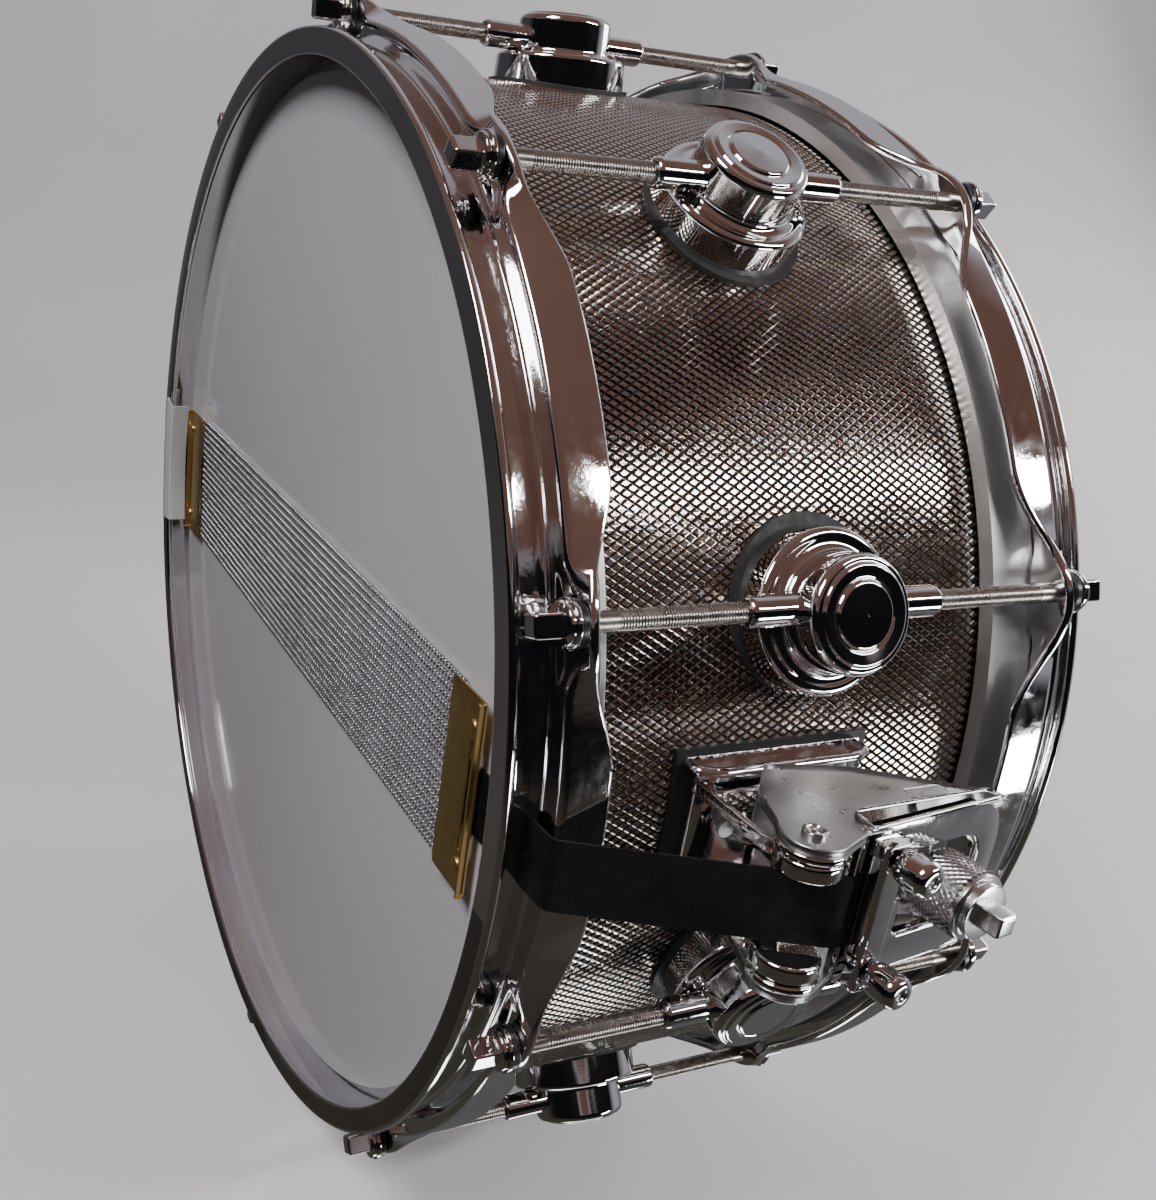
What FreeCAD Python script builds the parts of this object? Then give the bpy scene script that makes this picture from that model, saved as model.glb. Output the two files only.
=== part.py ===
"""Fourteen-inch snare drum with a knurled metal shell, in millimetres.

The drum stands on its snare-side rim. The origin is the centre of that rim's face and +Z points
up to the batter head. The throw-off is at -Y and the butt plate at +Y. A sub-part that repeats
round the shell is made at -Y and then turned about Z, so "depth" below is the distance from the
drum's axis along -Y. Whatever both heads have is made for the snare side, with its height
measured from the rim's face, and mirrored for the batter side.
"""
import FreeCAD, Part
import math
import os

Vector = FreeCAD.Vector
UP = Vector(0, 0, 1)
OUTWARD = Vector(0, -1, 0)
ACROSS = Vector(1, 0, 0)
AXIS_POINT = Vector(0, 0, 0)

# Driving dimensions of the whole drum
RIM_TO_RIM = 178.4
MID_Z = RIM_TO_RIM / 2
LUG_COUNT = 10
LUG_STEP_DEG = 360 / LUG_COUNT
FIRST_LUG_DEG = LUG_STEP_DEG / 2
ROD_CIRCLE_R = 189.0
OVERLAP = 0.1

# Shell
SHELL_R = 175.0
SHELL_WALL = 1.6
EDGE_R = 170.5
EDGE_Z = 10.6
EDGE_BEND_Z = 15.6
EDGE_LAND = 1.2
THROUGH_WALL = (SHELL_R - 5, SHELL_R + 5)

# Heads
FILM = 0.4
COLLAR_R = 176.6
COLLAR_BEND_Z = 15.2
COLLAR_END_Z = 28.0
HEAD_SHOULDER = 0.3
FLESH_R = 181.2
FLESH_Z = (15.3, 29.9)

# Hoops
LIP_R = 184.0
LIP_INNER_R = 175.6
LIP_H = 2.6
LIP_EDGE = 0.7
WALL_INNER_R = 176.9
WALL_R = 179.4
SHELF_Z = (12.6, 15.0)
SKIRT_INNER_R = 185.2
SKIRT_R = 187.6
SKIRT_END_Z = 26.5
EAR_Z = (14.5, 17.4)
EAR_INNER_R = 182.6
EAR_TIP = 5.2
EAR_HALF_W = 15.0
EAR_HOLE_R = 3.1
WAVE_HALF_W = (13.0, 34.0)
WASHER_POCKET_R = 7.0
WASHER_POCKET_Z = 9.2
GATE_HALF_W = 29.0
GATE_Z = (3.2, 12.2)

# Tension rods, their washers and nuts
HEAD_TIP_Z = 2.0
HEAD_SQUARE = 5.8
HEAD_CHAMFER = 0.8
COLLAR_Z = (9.3, 11.0)
ROD_COLLAR_R = 5.5
STEEL_WASHER_Z = (11.05, 12.25)
STEEL_WASHER_R = 6.1
NYLON_WASHER_Z = (12.3, 14.45)
NYLON_WASHER_R = 5.6
ROD_R = 2.7
NUT_BORE_R = 2.75
NUT_R = 4.1
NUT_OUTER_Z = MID_Z - 29.6
NUT_INNER_Z = MID_Z - 3.0
ROD_END_Z = MID_Z - 14.0
NUT_BORE_END_Z = MID_Z - 12.0

# Lugs
GASKET_T = 1.5
GASKET_R = 23.4
PAD_DEPTHS = (SHELL_R - 8, SHELL_R + 4)
LUG_SEAT_R = SHELL_R + GASKET_T
LUG_BASE_R = 22.0
LUG_BASE_TOP = 185.0
LUG_TOWER_R = 15.2
LUG_TOP = 197.4
LUG_BUTTON_R = 8.2
LUG_RING_R = 12.8
LUG_BASE_DRAFT = 0.6
LUG_BASE_EDGE = 1.0
LUG_FOOT_FILLET = 1.2
LUG_SHOULDER_DROP = 2.6
LUG_RING_DROP = 1.2
LUG_BUTTON_H = 0.5
LUG_FOOT_DEPTH = SHELL_R - 4
LUG_SCREW_OFFSET = 14.5
SCREW_R = 2.4
SCREW_HOLE_R = 2.7
SCREW_HEAD_R = 4.6
SCREW_HEAD_T = 2.6
SCREW_END_R = 182.5
SCREW_HEAD_SEAT_R = SHELL_R - SHELL_WALL - 0.08

# Vent
VENT_DEG = 252.0
VENT_HOLE_R = 6.0
VENT_BORE_R = 4.8
VENT_FLANGE_R = 9.0
VENT_FLANGE_T = 1.4
VENT_INNER_RING_R = 8.0
VENT_INNER_GAP = 0.25

# Throw-off: heights are along Z, depths along -Y, half widths along X
HINGE_DEPTH = 216.0
HINGE_Z = 61.0
PIN_R = 3.5
PIN_BORE_R = 3.56
EAR_X = (11.0, 15.7)
CHEEK_X = (16.0, 21.0)
CHEEK_T = 3.2
BASE_EAR_R = 8.2
BOSS_R = 8.5
BASE_HALF_W = 18.0
BASE_Z = (54.0, 110.0)
BASE_DEPTH = 184.0
PAD_SINK = 6.0
MOUNT_GASKET_EDGE = 2.0
MOUNT_SCREW_Z = (66.0, 90.0)
PLATE_LOW = (220.0, 73.0)
PLATE_HIGH = (214.5, 122.0)
PLATE_T = 2.8
PLATE_TILT = math.degrees(math.atan2(PLATE_LOW[0] - PLATE_HIGH[0], PLATE_HIGH[1] - PLATE_LOW[1]))
WINDOW_HALF_W = 12.0
WINDOW_Z = (91.0, 115.0)
BRIDGE_DEPTH = (204.0, 209.0)
BRIDGE_Z = (97.0, 109.0)
WINDOW_REACH = 5.0

# Side outlines of the bracket's arm and the back of the lever's cheek, as (depth, z) from the hinge
ARM_OFFSETS = ((-36, -7), (-5, -6.4), (0, 0), (-4, 7.1), (-29, 26), (-36, 36))
CHEEK_BACK_OFFSETS = ((0, 0), (-8, -3), (-18, -1), (-30, 9), (-24, 31), (-12, 49), (-4.5, 61))

# Strap and its clamp
STRAP_W = 19.0
STRAP_T = 0.6
STRAP_GAP = 0.1
STRAP_DROP = 1.7
STRAP_RUN_IN = 0.8
STRAP_OFF_SKIRT = 1.2
STRAP_OFF_PLATE = 0.3
CLAMP_HALF_W = 19.5
CLAMP_Z = (74.0, 83.0)
CLAMP_T = 5.0
CLAMP_SEAT = STRAP_T + 0.2
CLAMP_HEAD_SEAT = STRAP_T + CLAMP_T + 0.25
CLAMP_SCREW_X = 15.0
CLAMP_SCREW_R = 2.0
CLAMP_HEAD_R = 4.4
CLAMP_HEAD_T = 9.0

# Fine-tune screw, on an axis square to the lever's front plate
KNOB_Z = 103.0
KNOB_R = 9.0
KNOB_DEPTH = (212.5, 225.0)
KNOB_DISC_R = 7.2
KNOB_DISC_T = 2.2
KNOB_KEY = 5.6
KNOB_KEY_L = 6.0
ADJUSTER_R = 3.0
ADJUSTER_HOLE_R = 3.06
ADJUSTER_TIP_R = 2.0
ADJUSTER_TIP_BORE_R = 2.06
FOOT_R = 5.0
FOOT_DEPTH = (190.2, 194.2)
FOOT_BORE_L = 2.6
MAGNET_R = 6.0
MAGNET_END = 189.8
MAGNET_SUNK = 3.0

# Snare wires
STRAND_COUNT = 20
STRAND_PITCH = 2.8
STRAND_R = 0.95
STRAND_Z = 8.8
STRAND_Y = (-142.0, 142.0)
PLATE_Y = (138.0, 157.0)
WIRE_PLATE_HALF_W = 28.0
WIRE_PLATE_T = 0.9
WIRE_PLATE_Z = 6.6
WIRE_PLATE_LIP = 1.6
STRAP_START = 145.0

# Butt plate
BUTT_Z = (58.0, 92.0)
BUTT_DEPTH = 198.0
BUTT_HALF_W = 17.0
BUTT_SCREW_Z = (66.0, 84.0)
BUTT_CLAMP_Z = (64.0, 78.0)
BUTT_HEAD_R = 3.4
BUTT_HEAD_T = 4.5
BUTT_SCREW_X = 13.0


def revolved(profile):
    """A solid of revolution about Z from (radius, height) points."""
    points = [Vector(radius, 0, height) for radius, height in profile]
    face = Part.Face(Part.makePolygon(points + points[:1]))
    return face.revolve(AXIS_POINT, UP, 360)


def turned(shape, angle_deg):
    """A copy of a shape made at -Y, turned from -Y towards -X."""
    copy = shape.copy()
    copy.rotate(AXIS_POINT, UP, -angle_deg)
    return copy


def to_batter_side(shape):
    """The mirror image of a snare-side shape on the batter side."""
    return shape.mirror(Vector(0, 0, MID_Z), UP)


def upright_cylinder(radius, z_range, depth=0.0):
    """A cylinder along Z, at a depth in front of the axis."""
    return Part.makeCylinder(radius, z_range[1] - z_range[0], Vector(0, -depth, z_range[0]), UP)


def radial_cylinder(radius, depths, z, x=0.0):
    """A cylinder along -Y between two depths."""
    return Part.makeCylinder(radius, depths[1] - depths[0], Vector(x, -depths[0], z), OUTWARD)


def cross_cylinder(radius, x_range, depth, z):
    """A cylinder along X."""
    return Part.makeCylinder(radius, x_range[1] - x_range[0], Vector(x_range[0], -depth, z), ACROSS)


def block(x_range, depths, z_range):
    """A box between two values of x, depth and z."""
    corner = Vector(x_range[0], -depths[1], z_range[0])
    return Part.makeBox(x_range[1] - x_range[0], depths[1] - depths[0], z_range[1] - z_range[0], corner)


def side_prism(outline, x_range):
    """A prism along X from (depth, z) points."""
    points = [Vector(x_range[0], -depth, z) for depth, z in outline]
    face = Part.Face(Part.makePolygon(points + points[:1]))
    return face.extrude(Vector(x_range[1] - x_range[0], 0, 0))


def both_sides(shape):
    """A shape and its mirror image in the plane x = 0."""
    return [shape, shape.mirror(AXIS_POINT, ACROSS)]


def fuse(shapes):
    """One solid from touching shapes."""
    first = shapes[0]
    return first.fuse(shapes[1:]).removeSplitter()


def group(shapes):
    """Separate solids kept in one node."""
    return Part.makeCompound(shapes)


def lug_angles():
    """The angle of each lug, from -Y towards -X."""
    return [FIRST_LUG_DEG + LUG_STEP_DEG * index for index in range(LUG_COUNT)]


def screw_hole(z, x=0.0):
    """A radial hole through the shell at -Y."""
    return radial_cylinder(SCREW_HOLE_R, THROUGH_WALL, z, x)


def shell():
    """The metal wall, with both edges turned in to meet the heads, and its mounting holes."""
    inner = SHELL_R - SHELL_WALL
    low = [
        (SHELL_R, EDGE_BEND_Z),
        (EDGE_R + EDGE_LAND, EDGE_Z),
        (EDGE_R, EDGE_Z),
        (EDGE_R, EDGE_Z + SHELL_WALL),
        (inner, EDGE_BEND_Z + EDGE_LAND),
    ]
    high = [(radius, RIM_TO_RIM - height) for radius, height in reversed(low)]
    wall = revolved(low + high)
    holes = []
    for angle in lug_angles():
        for side in (-1, 1):
            holes.append(turned(screw_hole(MID_Z + side * LUG_SCREW_OFFSET), angle))
    for angle, heights in ((0, MOUNT_SCREW_Z), (180, BUTT_SCREW_Z)):
        for z in heights:
            holes.append(turned(screw_hole(z), angle))
    vent = radial_cylinder(VENT_HOLE_R, THROUGH_WALL, MID_Z)
    holes.append(turned(vent, VENT_DEG))
    return wall.cut(holes)


def vent_grommet():
    """A flanged sleeve that lines the vent hole."""
    outer_depth = SHELL_R + VENT_FLANGE_T
    inner_depth = SHELL_R - SHELL_WALL - VENT_FLANGE_T
    outside = radial_cylinder(VENT_FLANGE_R, (SHELL_R - VENT_FLANGE_T, outer_depth), MID_Z)
    outside = outside.cut(upright_cylinder(SHELL_R, (0, RIM_TO_RIM)))
    sleeve = radial_cylinder(VENT_HOLE_R, (inner_depth, outer_depth), MID_Z)
    ring_depths = (inner_depth, SHELL_R - SHELL_WALL - VENT_INNER_GAP)
    inner_ring = radial_cylinder(VENT_INNER_RING_R, ring_depths, MID_Z)
    bore = radial_cylinder(VENT_BORE_R, (inner_depth - 1, outer_depth + 1), MID_Z)
    return turned(fuse([outside, sleeve, inner_ring]).cut(bore), VENT_DEG)


def head():
    """A film with its collar turned up inside the flesh hoop."""
    face_z = EDGE_Z - FILM
    profile = [
        (0, face_z),
        (EDGE_R + EDGE_LAND + HEAD_SHOULDER, face_z),
        (COLLAR_R, COLLAR_BEND_Z - FILM),
        (COLLAR_R, COLLAR_END_Z),
        (COLLAR_R - FILM, COLLAR_END_Z),
        (COLLAR_R - FILM, COLLAR_BEND_Z),
        (EDGE_R + EDGE_LAND, EDGE_Z),
        (0, EDGE_Z),
    ]
    return revolved(profile)


def flesh_hoop():
    """The metal ring that holds the film's edge."""
    low, high = FLESH_Z
    return revolved([(COLLAR_R, low), (FLESH_R, low), (FLESH_R, high), (COLLAR_R, high)])


def hoop_ring():
    """The hoop's lip, wall, shelf and skirt, before its ears."""
    shelf_low, shelf_high = SHELF_Z
    return revolved([
        (LIP_INNER_R + LIP_EDGE, 0),
        (LIP_R, 0),
        (LIP_R, LIP_H),
        (WALL_R, LIP_H),
        (WALL_R, shelf_low),
        (SKIRT_R, shelf_low),
        (SKIRT_R, SKIRT_END_Z),
        (SKIRT_INNER_R, SKIRT_END_Z),
        (SKIRT_INNER_R, shelf_high),
        (WALL_INNER_R, shelf_high),
        (WALL_INNER_R, LIP_H),
        (LIP_INNER_R, LIP_H - LIP_EDGE),
        (LIP_INNER_R, LIP_EDGE),
    ])


def hoop_ear():
    """A tab round one tension rod, at -Y."""
    low, high = EAR_Z
    root_corner = Vector(EAR_HALF_W, -EAR_INNER_R, low)
    shoulder = Vector(EAR_HALF_W, -SKIRT_R, low)
    neck = Vector(EAR_TIP, -ROD_CIRCLE_R, low)
    tip = Vector(0, -ROD_CIRCLE_R - EAR_TIP, low)
    mirror = [Vector(-point.x, point.y, point.z) for point in (neck, shoulder, root_corner)]
    edges = [
        Part.makeLine(root_corner, shoulder),
        Part.makeLine(shoulder, neck),
        Part.Arc(neck, tip, mirror[0]).toShape(),
        Part.makeLine(mirror[0], mirror[1]),
        Part.makeLine(mirror[1], mirror[2]),
        Part.makeLine(mirror[2], root_corner),
    ]
    tab = Part.Face(Part.Wire(edges)).extrude(Vector(0, 0, high - low))
    inner_clear = upright_cylinder(FLESH_R + 1.0, (low - 1, high + 1))
    return tab.cut(inner_clear)


def hoop_cutters():
    """What each ear takes out of the ring: the skirt's wave, the washer pocket and the rod hole."""
    narrow, wide = WAVE_HALF_W
    ear_top = EAR_Z[1]
    end = SKIRT_END_Z + 1
    outline = [(-narrow, ear_top), (narrow, ear_top), (wide, end), (-wide, end)]
    points = [Vector(x, -WALL_R, z) for x, z in outline]
    face = Part.Face(Part.makePolygon(points + points[:1]))
    wave = face.extrude(OUTWARD * (SKIRT_R - WALL_R + 5))
    pocket = upright_cylinder(WASHER_POCKET_R, (WASHER_POCKET_Z, EAR_Z[0]), ROD_CIRCLE_R)
    hole = upright_cylinder(EAR_HOLE_R, (EAR_Z[0] - 1, ear_top + 1), ROD_CIRCLE_R)
    return wave, pocket, hole


def hoop():
    """A flanged hoop with an ear at every tension rod."""
    ring = hoop_ring()
    wave, pocket, hole = hoop_cutters()
    ring = ring.cut([turned(wave, angle) for angle in lug_angles()])
    ring = ring.fuse([turned(hoop_ear(), angle) for angle in lug_angles()])
    bores = []
    for angle in lug_angles():
        bores += [turned(pocket, angle), turned(hole, angle)]
    return ring.cut(bores)


def gates():
    """The two windows in the snare hoop's wall that the snare straps pass through."""
    depths = (WALL_INNER_R - 6, WALL_R + 1)
    gate = block((-GATE_HALF_W, GATE_HALF_W), depths, GATE_Z)
    return [gate, turned(gate, 180)]


def tension_rod():
    """A square-headed rod with its collar, at -Y."""
    half = HEAD_SQUARE / 2
    depths = (ROD_CIRCLE_R - half, ROD_CIRCLE_R + half)
    square = block((-half, half), depths, (HEAD_TIP_Z, COLLAR_Z[0] + OVERLAP))
    tip_edges = [edge for edge in square.Edges if edge.BoundBox.ZMax < HEAD_TIP_Z + 0.01]
    square = square.makeChamfer(HEAD_CHAMFER, tip_edges)
    collar = upright_cylinder(ROD_COLLAR_R, COLLAR_Z, ROD_CIRCLE_R)
    shank = upright_cylinder(ROD_R, (COLLAR_Z[1] - OVERLAP, ROD_END_Z), ROD_CIRCLE_R)
    return fuse([square, collar, shank])


def washer(radius, z_range):
    """A flat ring round a tension rod, at -Y."""
    ring = upright_cylinder(radius, z_range, ROD_CIRCLE_R)
    bore = upright_cylinder(EAR_HOLE_R, (z_range[0] - 1, z_range[1] + 1), ROD_CIRCLE_R)
    return ring.cut(bore)


def swivel_nut():
    """The threaded sleeve in a lug that takes a rod's end, at -Y."""
    body = upright_cylinder(NUT_R, (NUT_OUTER_Z, NUT_INNER_Z), ROD_CIRCLE_R)
    bore = upright_cylinder(NUT_BORE_R, (NUT_OUTER_Z - 1, NUT_BORE_END_Z), ROD_CIRCLE_R)
    return body.cut(bore)


def at_every_rod(shape):
    """Copies of a snare-side shape at all the rods of both hoops."""
    copies = []
    for angle in lug_angles():
        copy = turned(shape, angle)
        copies += [copy, to_batter_side(copy)]
    return copies


def lug():
    """A round turret: a broad base, a tower with a ringed cap, and a cross bore for two nuts."""
    steps = [
        (0, LUG_FOOT_DEPTH),
        (LUG_BASE_R, LUG_FOOT_DEPTH),
        (LUG_BASE_R - LUG_BASE_DRAFT, LUG_BASE_TOP - LUG_BASE_EDGE),
        (LUG_BASE_R - LUG_BASE_DRAFT - LUG_BASE_EDGE, LUG_BASE_TOP),
        (LUG_TOWER_R + LUG_FOOT_FILLET, LUG_BASE_TOP),
        (LUG_TOWER_R, LUG_BASE_TOP + LUG_FOOT_FILLET),
        (LUG_TOWER_R, LUG_TOP - LUG_SHOULDER_DROP),
        (LUG_TOWER_R - LUG_SHOULDER_DROP / 2, LUG_TOP - LUG_RING_DROP),
        (LUG_RING_R, LUG_TOP - LUG_RING_DROP),
        (LUG_RING_R - LUG_BUTTON_H, LUG_TOP - LUG_BUTTON_H),
        (LUG_BUTTON_R + LUG_BUTTON_H, LUG_TOP - LUG_BUTTON_H),
        (LUG_BUTTON_R, LUG_TOP),
        (0, LUG_TOP),
    ]
    body = revolved(steps)
    body.rotate(AXIS_POINT, ACROSS, 90)
    body.translate(Vector(0, 0, MID_Z))
    seat = upright_cylinder(LUG_SEAT_R, (0, RIM_TO_RIM))
    reach = MID_Z - NUT_INNER_Z
    cross_bores = [
        upright_cylinder(NUT_R + 0.05, (MID_Z - 2 * LUG_BASE_R, MID_Z - reach), ROD_CIRCLE_R),
        upright_cylinder(NUT_R + 0.05, (MID_Z + reach, MID_Z + 2 * LUG_BASE_R), ROD_CIRCLE_R),
    ]
    screw_bores = []
    for side in (-1, 1):
        z = MID_Z + side * LUG_SCREW_OFFSET
        screw_bores.append(radial_cylinder(SCREW_R, (LUG_SEAT_R - 2, SCREW_END_R), z))
    return body.cut([seat] + cross_bores + screw_bores)


def curved_pad(outline_solid, holes):
    """A gasket: the part of a radial prism that lies just outside the shell, less its holes."""
    ring = upright_cylinder(LUG_SEAT_R, (0, RIM_TO_RIM))
    core = upright_cylinder(SHELL_R, (0, RIM_TO_RIM))
    return outline_solid.common(ring).cut([core] + holes)


def lug_gasket():
    """The round pad under a lug, at -Y."""
    disc = radial_cylinder(GASKET_R, PAD_DEPTHS, MID_Z)
    holes = [screw_hole(MID_Z + side * LUG_SCREW_OFFSET) for side in (-1, 1)]
    return curved_pad(disc, holes)


def inside_screw(z, end_depth, x=0.0):
    """A pan-head screw put in from inside the shell, at -Y."""
    head_end = SCREW_HEAD_SEAT_R - SCREW_HEAD_T
    pan = radial_cylinder(SCREW_HEAD_R, (head_end, SCREW_HEAD_SEAT_R), z, x)
    shank = radial_cylinder(SCREW_R, (SCREW_HEAD_SEAT_R - OVERLAP, end_depth), z, x)
    return fuse([pan, shank])


def lug_screws():
    """Two screws for every lug."""
    screws = []
    for angle in lug_angles():
        for side in (-1, 1):
            screw = inside_screw(MID_Z + side * LUG_SCREW_OFFSET, SCREW_END_R)
            screws.append(turned(screw, angle))
    return group(screws)


def throw_off_base():
    """The bracket on the shell, with two ears that hold the lever's hinge pins."""
    pad = block((-BASE_HALF_W, BASE_HALF_W), (SHELL_R - PAD_SINK, BASE_DEPTH), BASE_Z)
    arm = from_hinge(ARM_OFFSETS)
    ear = fuse([side_prism(arm, EAR_X), cross_cylinder(BASE_EAR_R, EAR_X, HINGE_DEPTH, HINGE_Z)])
    body = fuse([pad] + both_sides(ear))
    seat = upright_cylinder(LUG_SEAT_R, (0, RIM_TO_RIM))
    screw_bores = [radial_cylinder(SCREW_R, (SHELL_R, SCREW_END_R), z) for z in MOUNT_SCREW_Z]
    pin_bore = cross_cylinder(PIN_R, (-BASE_HALF_W, BASE_HALF_W), HINGE_DEPTH, HINGE_Z)
    return body.cut([seat, pin_bore, magnet()] + screw_bores)


def mounting_gaskets():
    """The pads under the throw-off and under the butt plate."""
    edge = MOUNT_GASKET_EDGE
    throw_wide = BASE_HALF_W + edge
    throw_pad = block((-throw_wide, throw_wide), PAD_DEPTHS, (BASE_Z[0] - edge, BASE_Z[1] + edge))
    throw_gasket = curved_pad(throw_pad, [screw_hole(z) for z in MOUNT_SCREW_Z])
    butt_wide = BUTT_HALF_W + edge
    butt_pad = block((-butt_wide, butt_wide), PAD_DEPTHS, (BUTT_Z[0] - edge, BUTT_Z[1] + edge))
    butt_gasket = curved_pad(butt_pad, [screw_hole(z) for z in BUTT_SCREW_Z])
    return group([throw_gasket, turned(butt_gasket, 180)])


def throw_off_screws():
    """The two screws that hold the bracket."""
    return group([inside_screw(z, SCREW_END_R) for z in MOUNT_SCREW_Z])


def hinge_pins():
    """Two short pins on one axis, pressed in the bracket's ears."""
    pin = cross_cylinder(PIN_R, (EAR_X[0], CHEEK_X[1] + 0.3), HINGE_DEPTH, HINGE_Z)
    return group(both_sides(pin))


def from_hinge(offsets):
    """(depth, z) points from their offsets to the hinge axis."""
    return [(HINGE_DEPTH + depth, HINGE_Z + z) for depth, z in offsets]


def plate_point(share, inset=0.0):
    """A (depth, z) point on the lever's front plate, a share of the way up, inset towards the shell."""
    depth = PLATE_LOW[0] + (PLATE_HIGH[0] - PLATE_LOW[0]) * share
    z = PLATE_LOW[1] + (PLATE_HIGH[1] - PLATE_LOW[1]) * share
    tilt = math.radians(PLATE_TILT)
    return depth - inset * math.cos(tilt), z - inset * math.sin(tilt)


def lever_cheek():
    """One side wall of the lever with its hinge boss, on the +X side."""
    outline = from_hinge(CHEEK_BACK_OFFSETS) + [plate_point(1.0), plate_point(0.0)]
    wall = side_prism(outline, (CHEEK_X[1] - CHEEK_T, CHEEK_X[1]))
    boss = cross_cylinder(BOSS_R, CHEEK_X, HINGE_DEPTH, HINGE_Z)
    return fuse([wall, boss])


def tilted(shape, about_depth, about_z):
    """Tips a shape made along -Y so that it stands square to the lever's front plate."""
    copy = shape.copy()
    copy.rotate(Vector(0, -about_depth, about_z), ACROSS, -PLATE_TILT)
    return copy


def adjuster_cylinder(radius, depths):
    """A cylinder on the fine-tune screw's axis."""
    return tilted(radial_cylinder(radius, depths, KNOB_Z), BRIDGE_DEPTH[1], KNOB_Z)


def throw_off_lever():
    """The lever: two cheeks, a front plate with a window, and a bridge that holds the screw."""
    plate_outline = [plate_point(0.0), plate_point(1.0), plate_point(1.0, PLATE_T), plate_point(0.0, PLATE_T)]
    wide = (-CHEEK_X[1], CHEEK_X[1])
    plate = side_prism(plate_outline, wide)
    window_depths = (BRIDGE_DEPTH[1] + OVERLAP, PLATE_LOW[0] + WINDOW_REACH)
    window = block((-WINDOW_HALF_W, WINDOW_HALF_W), window_depths, WINDOW_Z)
    bridge = block((-CHEEK_X[1] + 1, CHEEK_X[1] - 1), BRIDGE_DEPTH, BRIDGE_Z)
    body = fuse([plate.cut(window), bridge] + both_sides(lever_cheek()))
    pin_bore = cross_cylinder(PIN_BORE_R, (-CHEEK_X[1] - 1, CHEEK_X[1] + 1), HINGE_DEPTH, HINGE_Z)
    screw_bore = adjuster_cylinder(ADJUSTER_HOLE_R, (BRIDGE_DEPTH[0] - 5, BRIDGE_DEPTH[1] + 5))
    clamp_bores = [clamp_shank(x) for x in (-CLAMP_SCREW_X, CLAMP_SCREW_X)]
    return body.cut([pin_bore, screw_bore] + clamp_bores)


def plate_depth(z):
    """The depth of the lever's front face at a height."""
    share = (z - PLATE_LOW[1]) / (PLATE_HIGH[1] - PLATE_LOW[1])
    return plate_point(share)[0]


def clamp_face(offset, low=CLAMP_Z[0]):
    """The (depth, z) ends of a line parallel to the lever's front face, a distance outside it."""
    return [(plate_depth(z) + offset, z) for z in (low, CLAMP_Z[1])]


def strap_clamp():
    """The bar that pinches the strap against the lever."""
    inner = clamp_face(CLAMP_SEAT)
    outer = clamp_face(CLAMP_SEAT + CLAMP_T)
    outline = [inner[0], inner[1], outer[1], outer[0]]
    bar = side_prism(outline, (-CLAMP_HALF_W, CLAMP_HALF_W))
    return bar.cut([clamp_shank(x) for x in (-CLAMP_SCREW_X, CLAMP_SCREW_X)])


def clamp_shank(x):
    """The shank of a clamp screw, from behind the plate to under its head."""
    middle = sum(CLAMP_Z) / 2
    face = plate_depth(middle)
    shank = radial_cylinder(CLAMP_SCREW_R, (face - PLATE_T - 1, face + STRAP_T + CLAMP_T + 1), middle, x)
    return tilted(shank, face, middle)


def clamp_screws():
    """Two round-headed screws through the clamp bar."""
    middle = sum(CLAMP_Z) / 2
    face = plate_depth(middle)
    seat = face + CLAMP_HEAD_SEAT
    screws = []
    for x in (-CLAMP_SCREW_X, CLAMP_SCREW_X):
        barrel = radial_cylinder(CLAMP_HEAD_R, (seat, seat + CLAMP_HEAD_T), middle, x)
        screws.append(fuse([tilted(barrel, face, middle), clamp_shank(x)]))
    return group(screws)


def magnet():
    """The puck on the bracket that holds the lever shut."""
    return adjuster_cylinder(MAGNET_R, (BASE_DEPTH - MAGNET_SUNK, MAGNET_END))


def fine_tune_foot():
    """The cup on the fine-tune screw's end that meets the magnet."""
    disc = adjuster_cylinder(FOOT_R, FOOT_DEPTH)
    bore = adjuster_cylinder(ADJUSTER_TIP_BORE_R, (FOOT_DEPTH[1] - FOOT_BORE_L, FOOT_DEPTH[1] + 1))
    return disc.cut(bore)


def fine_tune_knob():
    """The knurled knob, its key-square end and the screw behind it."""
    inner, outer = KNOB_DEPTH
    end = outer + KNOB_DISC_T
    half = KNOB_KEY / 2
    key = block((-half, half), (end - OVERLAP, end + KNOB_KEY_L), (KNOB_Z - half, KNOB_Z + half))
    tip_depths = (FOOT_DEPTH[1] - FOOT_BORE_L + 0.2, FOOT_DEPTH[1] + 0.5)
    return fuse([
        adjuster_cylinder(KNOB_R, (inner, outer)),
        adjuster_cylinder(KNOB_DISC_R, (outer - OVERLAP, end)),
        tilted(key, BRIDGE_DEPTH[1], KNOB_Z),
        adjuster_cylinder(ADJUSTER_R, (FOOT_DEPTH[1] + 0.3, inner + OVERLAP)),
        adjuster_cylinder(ADJUSTER_TIP_R, tip_depths),
    ])


def strap(clamp_inner, clamp_outer):
    """A flat strap from an end plate, out through a gate, then up to its clamp, at -Y."""
    start_depth, start_z = STRAP_START, WIRE_PLATE_Z + WIRE_PLATE_T + STRAP_OFF_PLATE
    corner_depth, corner_z = SKIRT_R + STRAP_OFF_SKIRT, SHELF_Z[0] - STRAP_DROP
    outer_side = [(start_depth, start_z), (corner_depth + STRAP_T, corner_z - STRAP_T)] + clamp_outer
    inner_side = [(start_depth, start_z + STRAP_T), (corner_depth, corner_z)] + clamp_inner
    return side_prism(outer_side + inner_side[::-1], (-STRAP_W / 2, STRAP_W / 2))


def throw_off_strap():
    """The strap that the lever pulls."""
    low = PLATE_LOW[1] - STRAP_RUN_IN
    return strap(clamp_face(STRAP_GAP, low), clamp_face(STRAP_GAP + STRAP_T, low))


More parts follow.
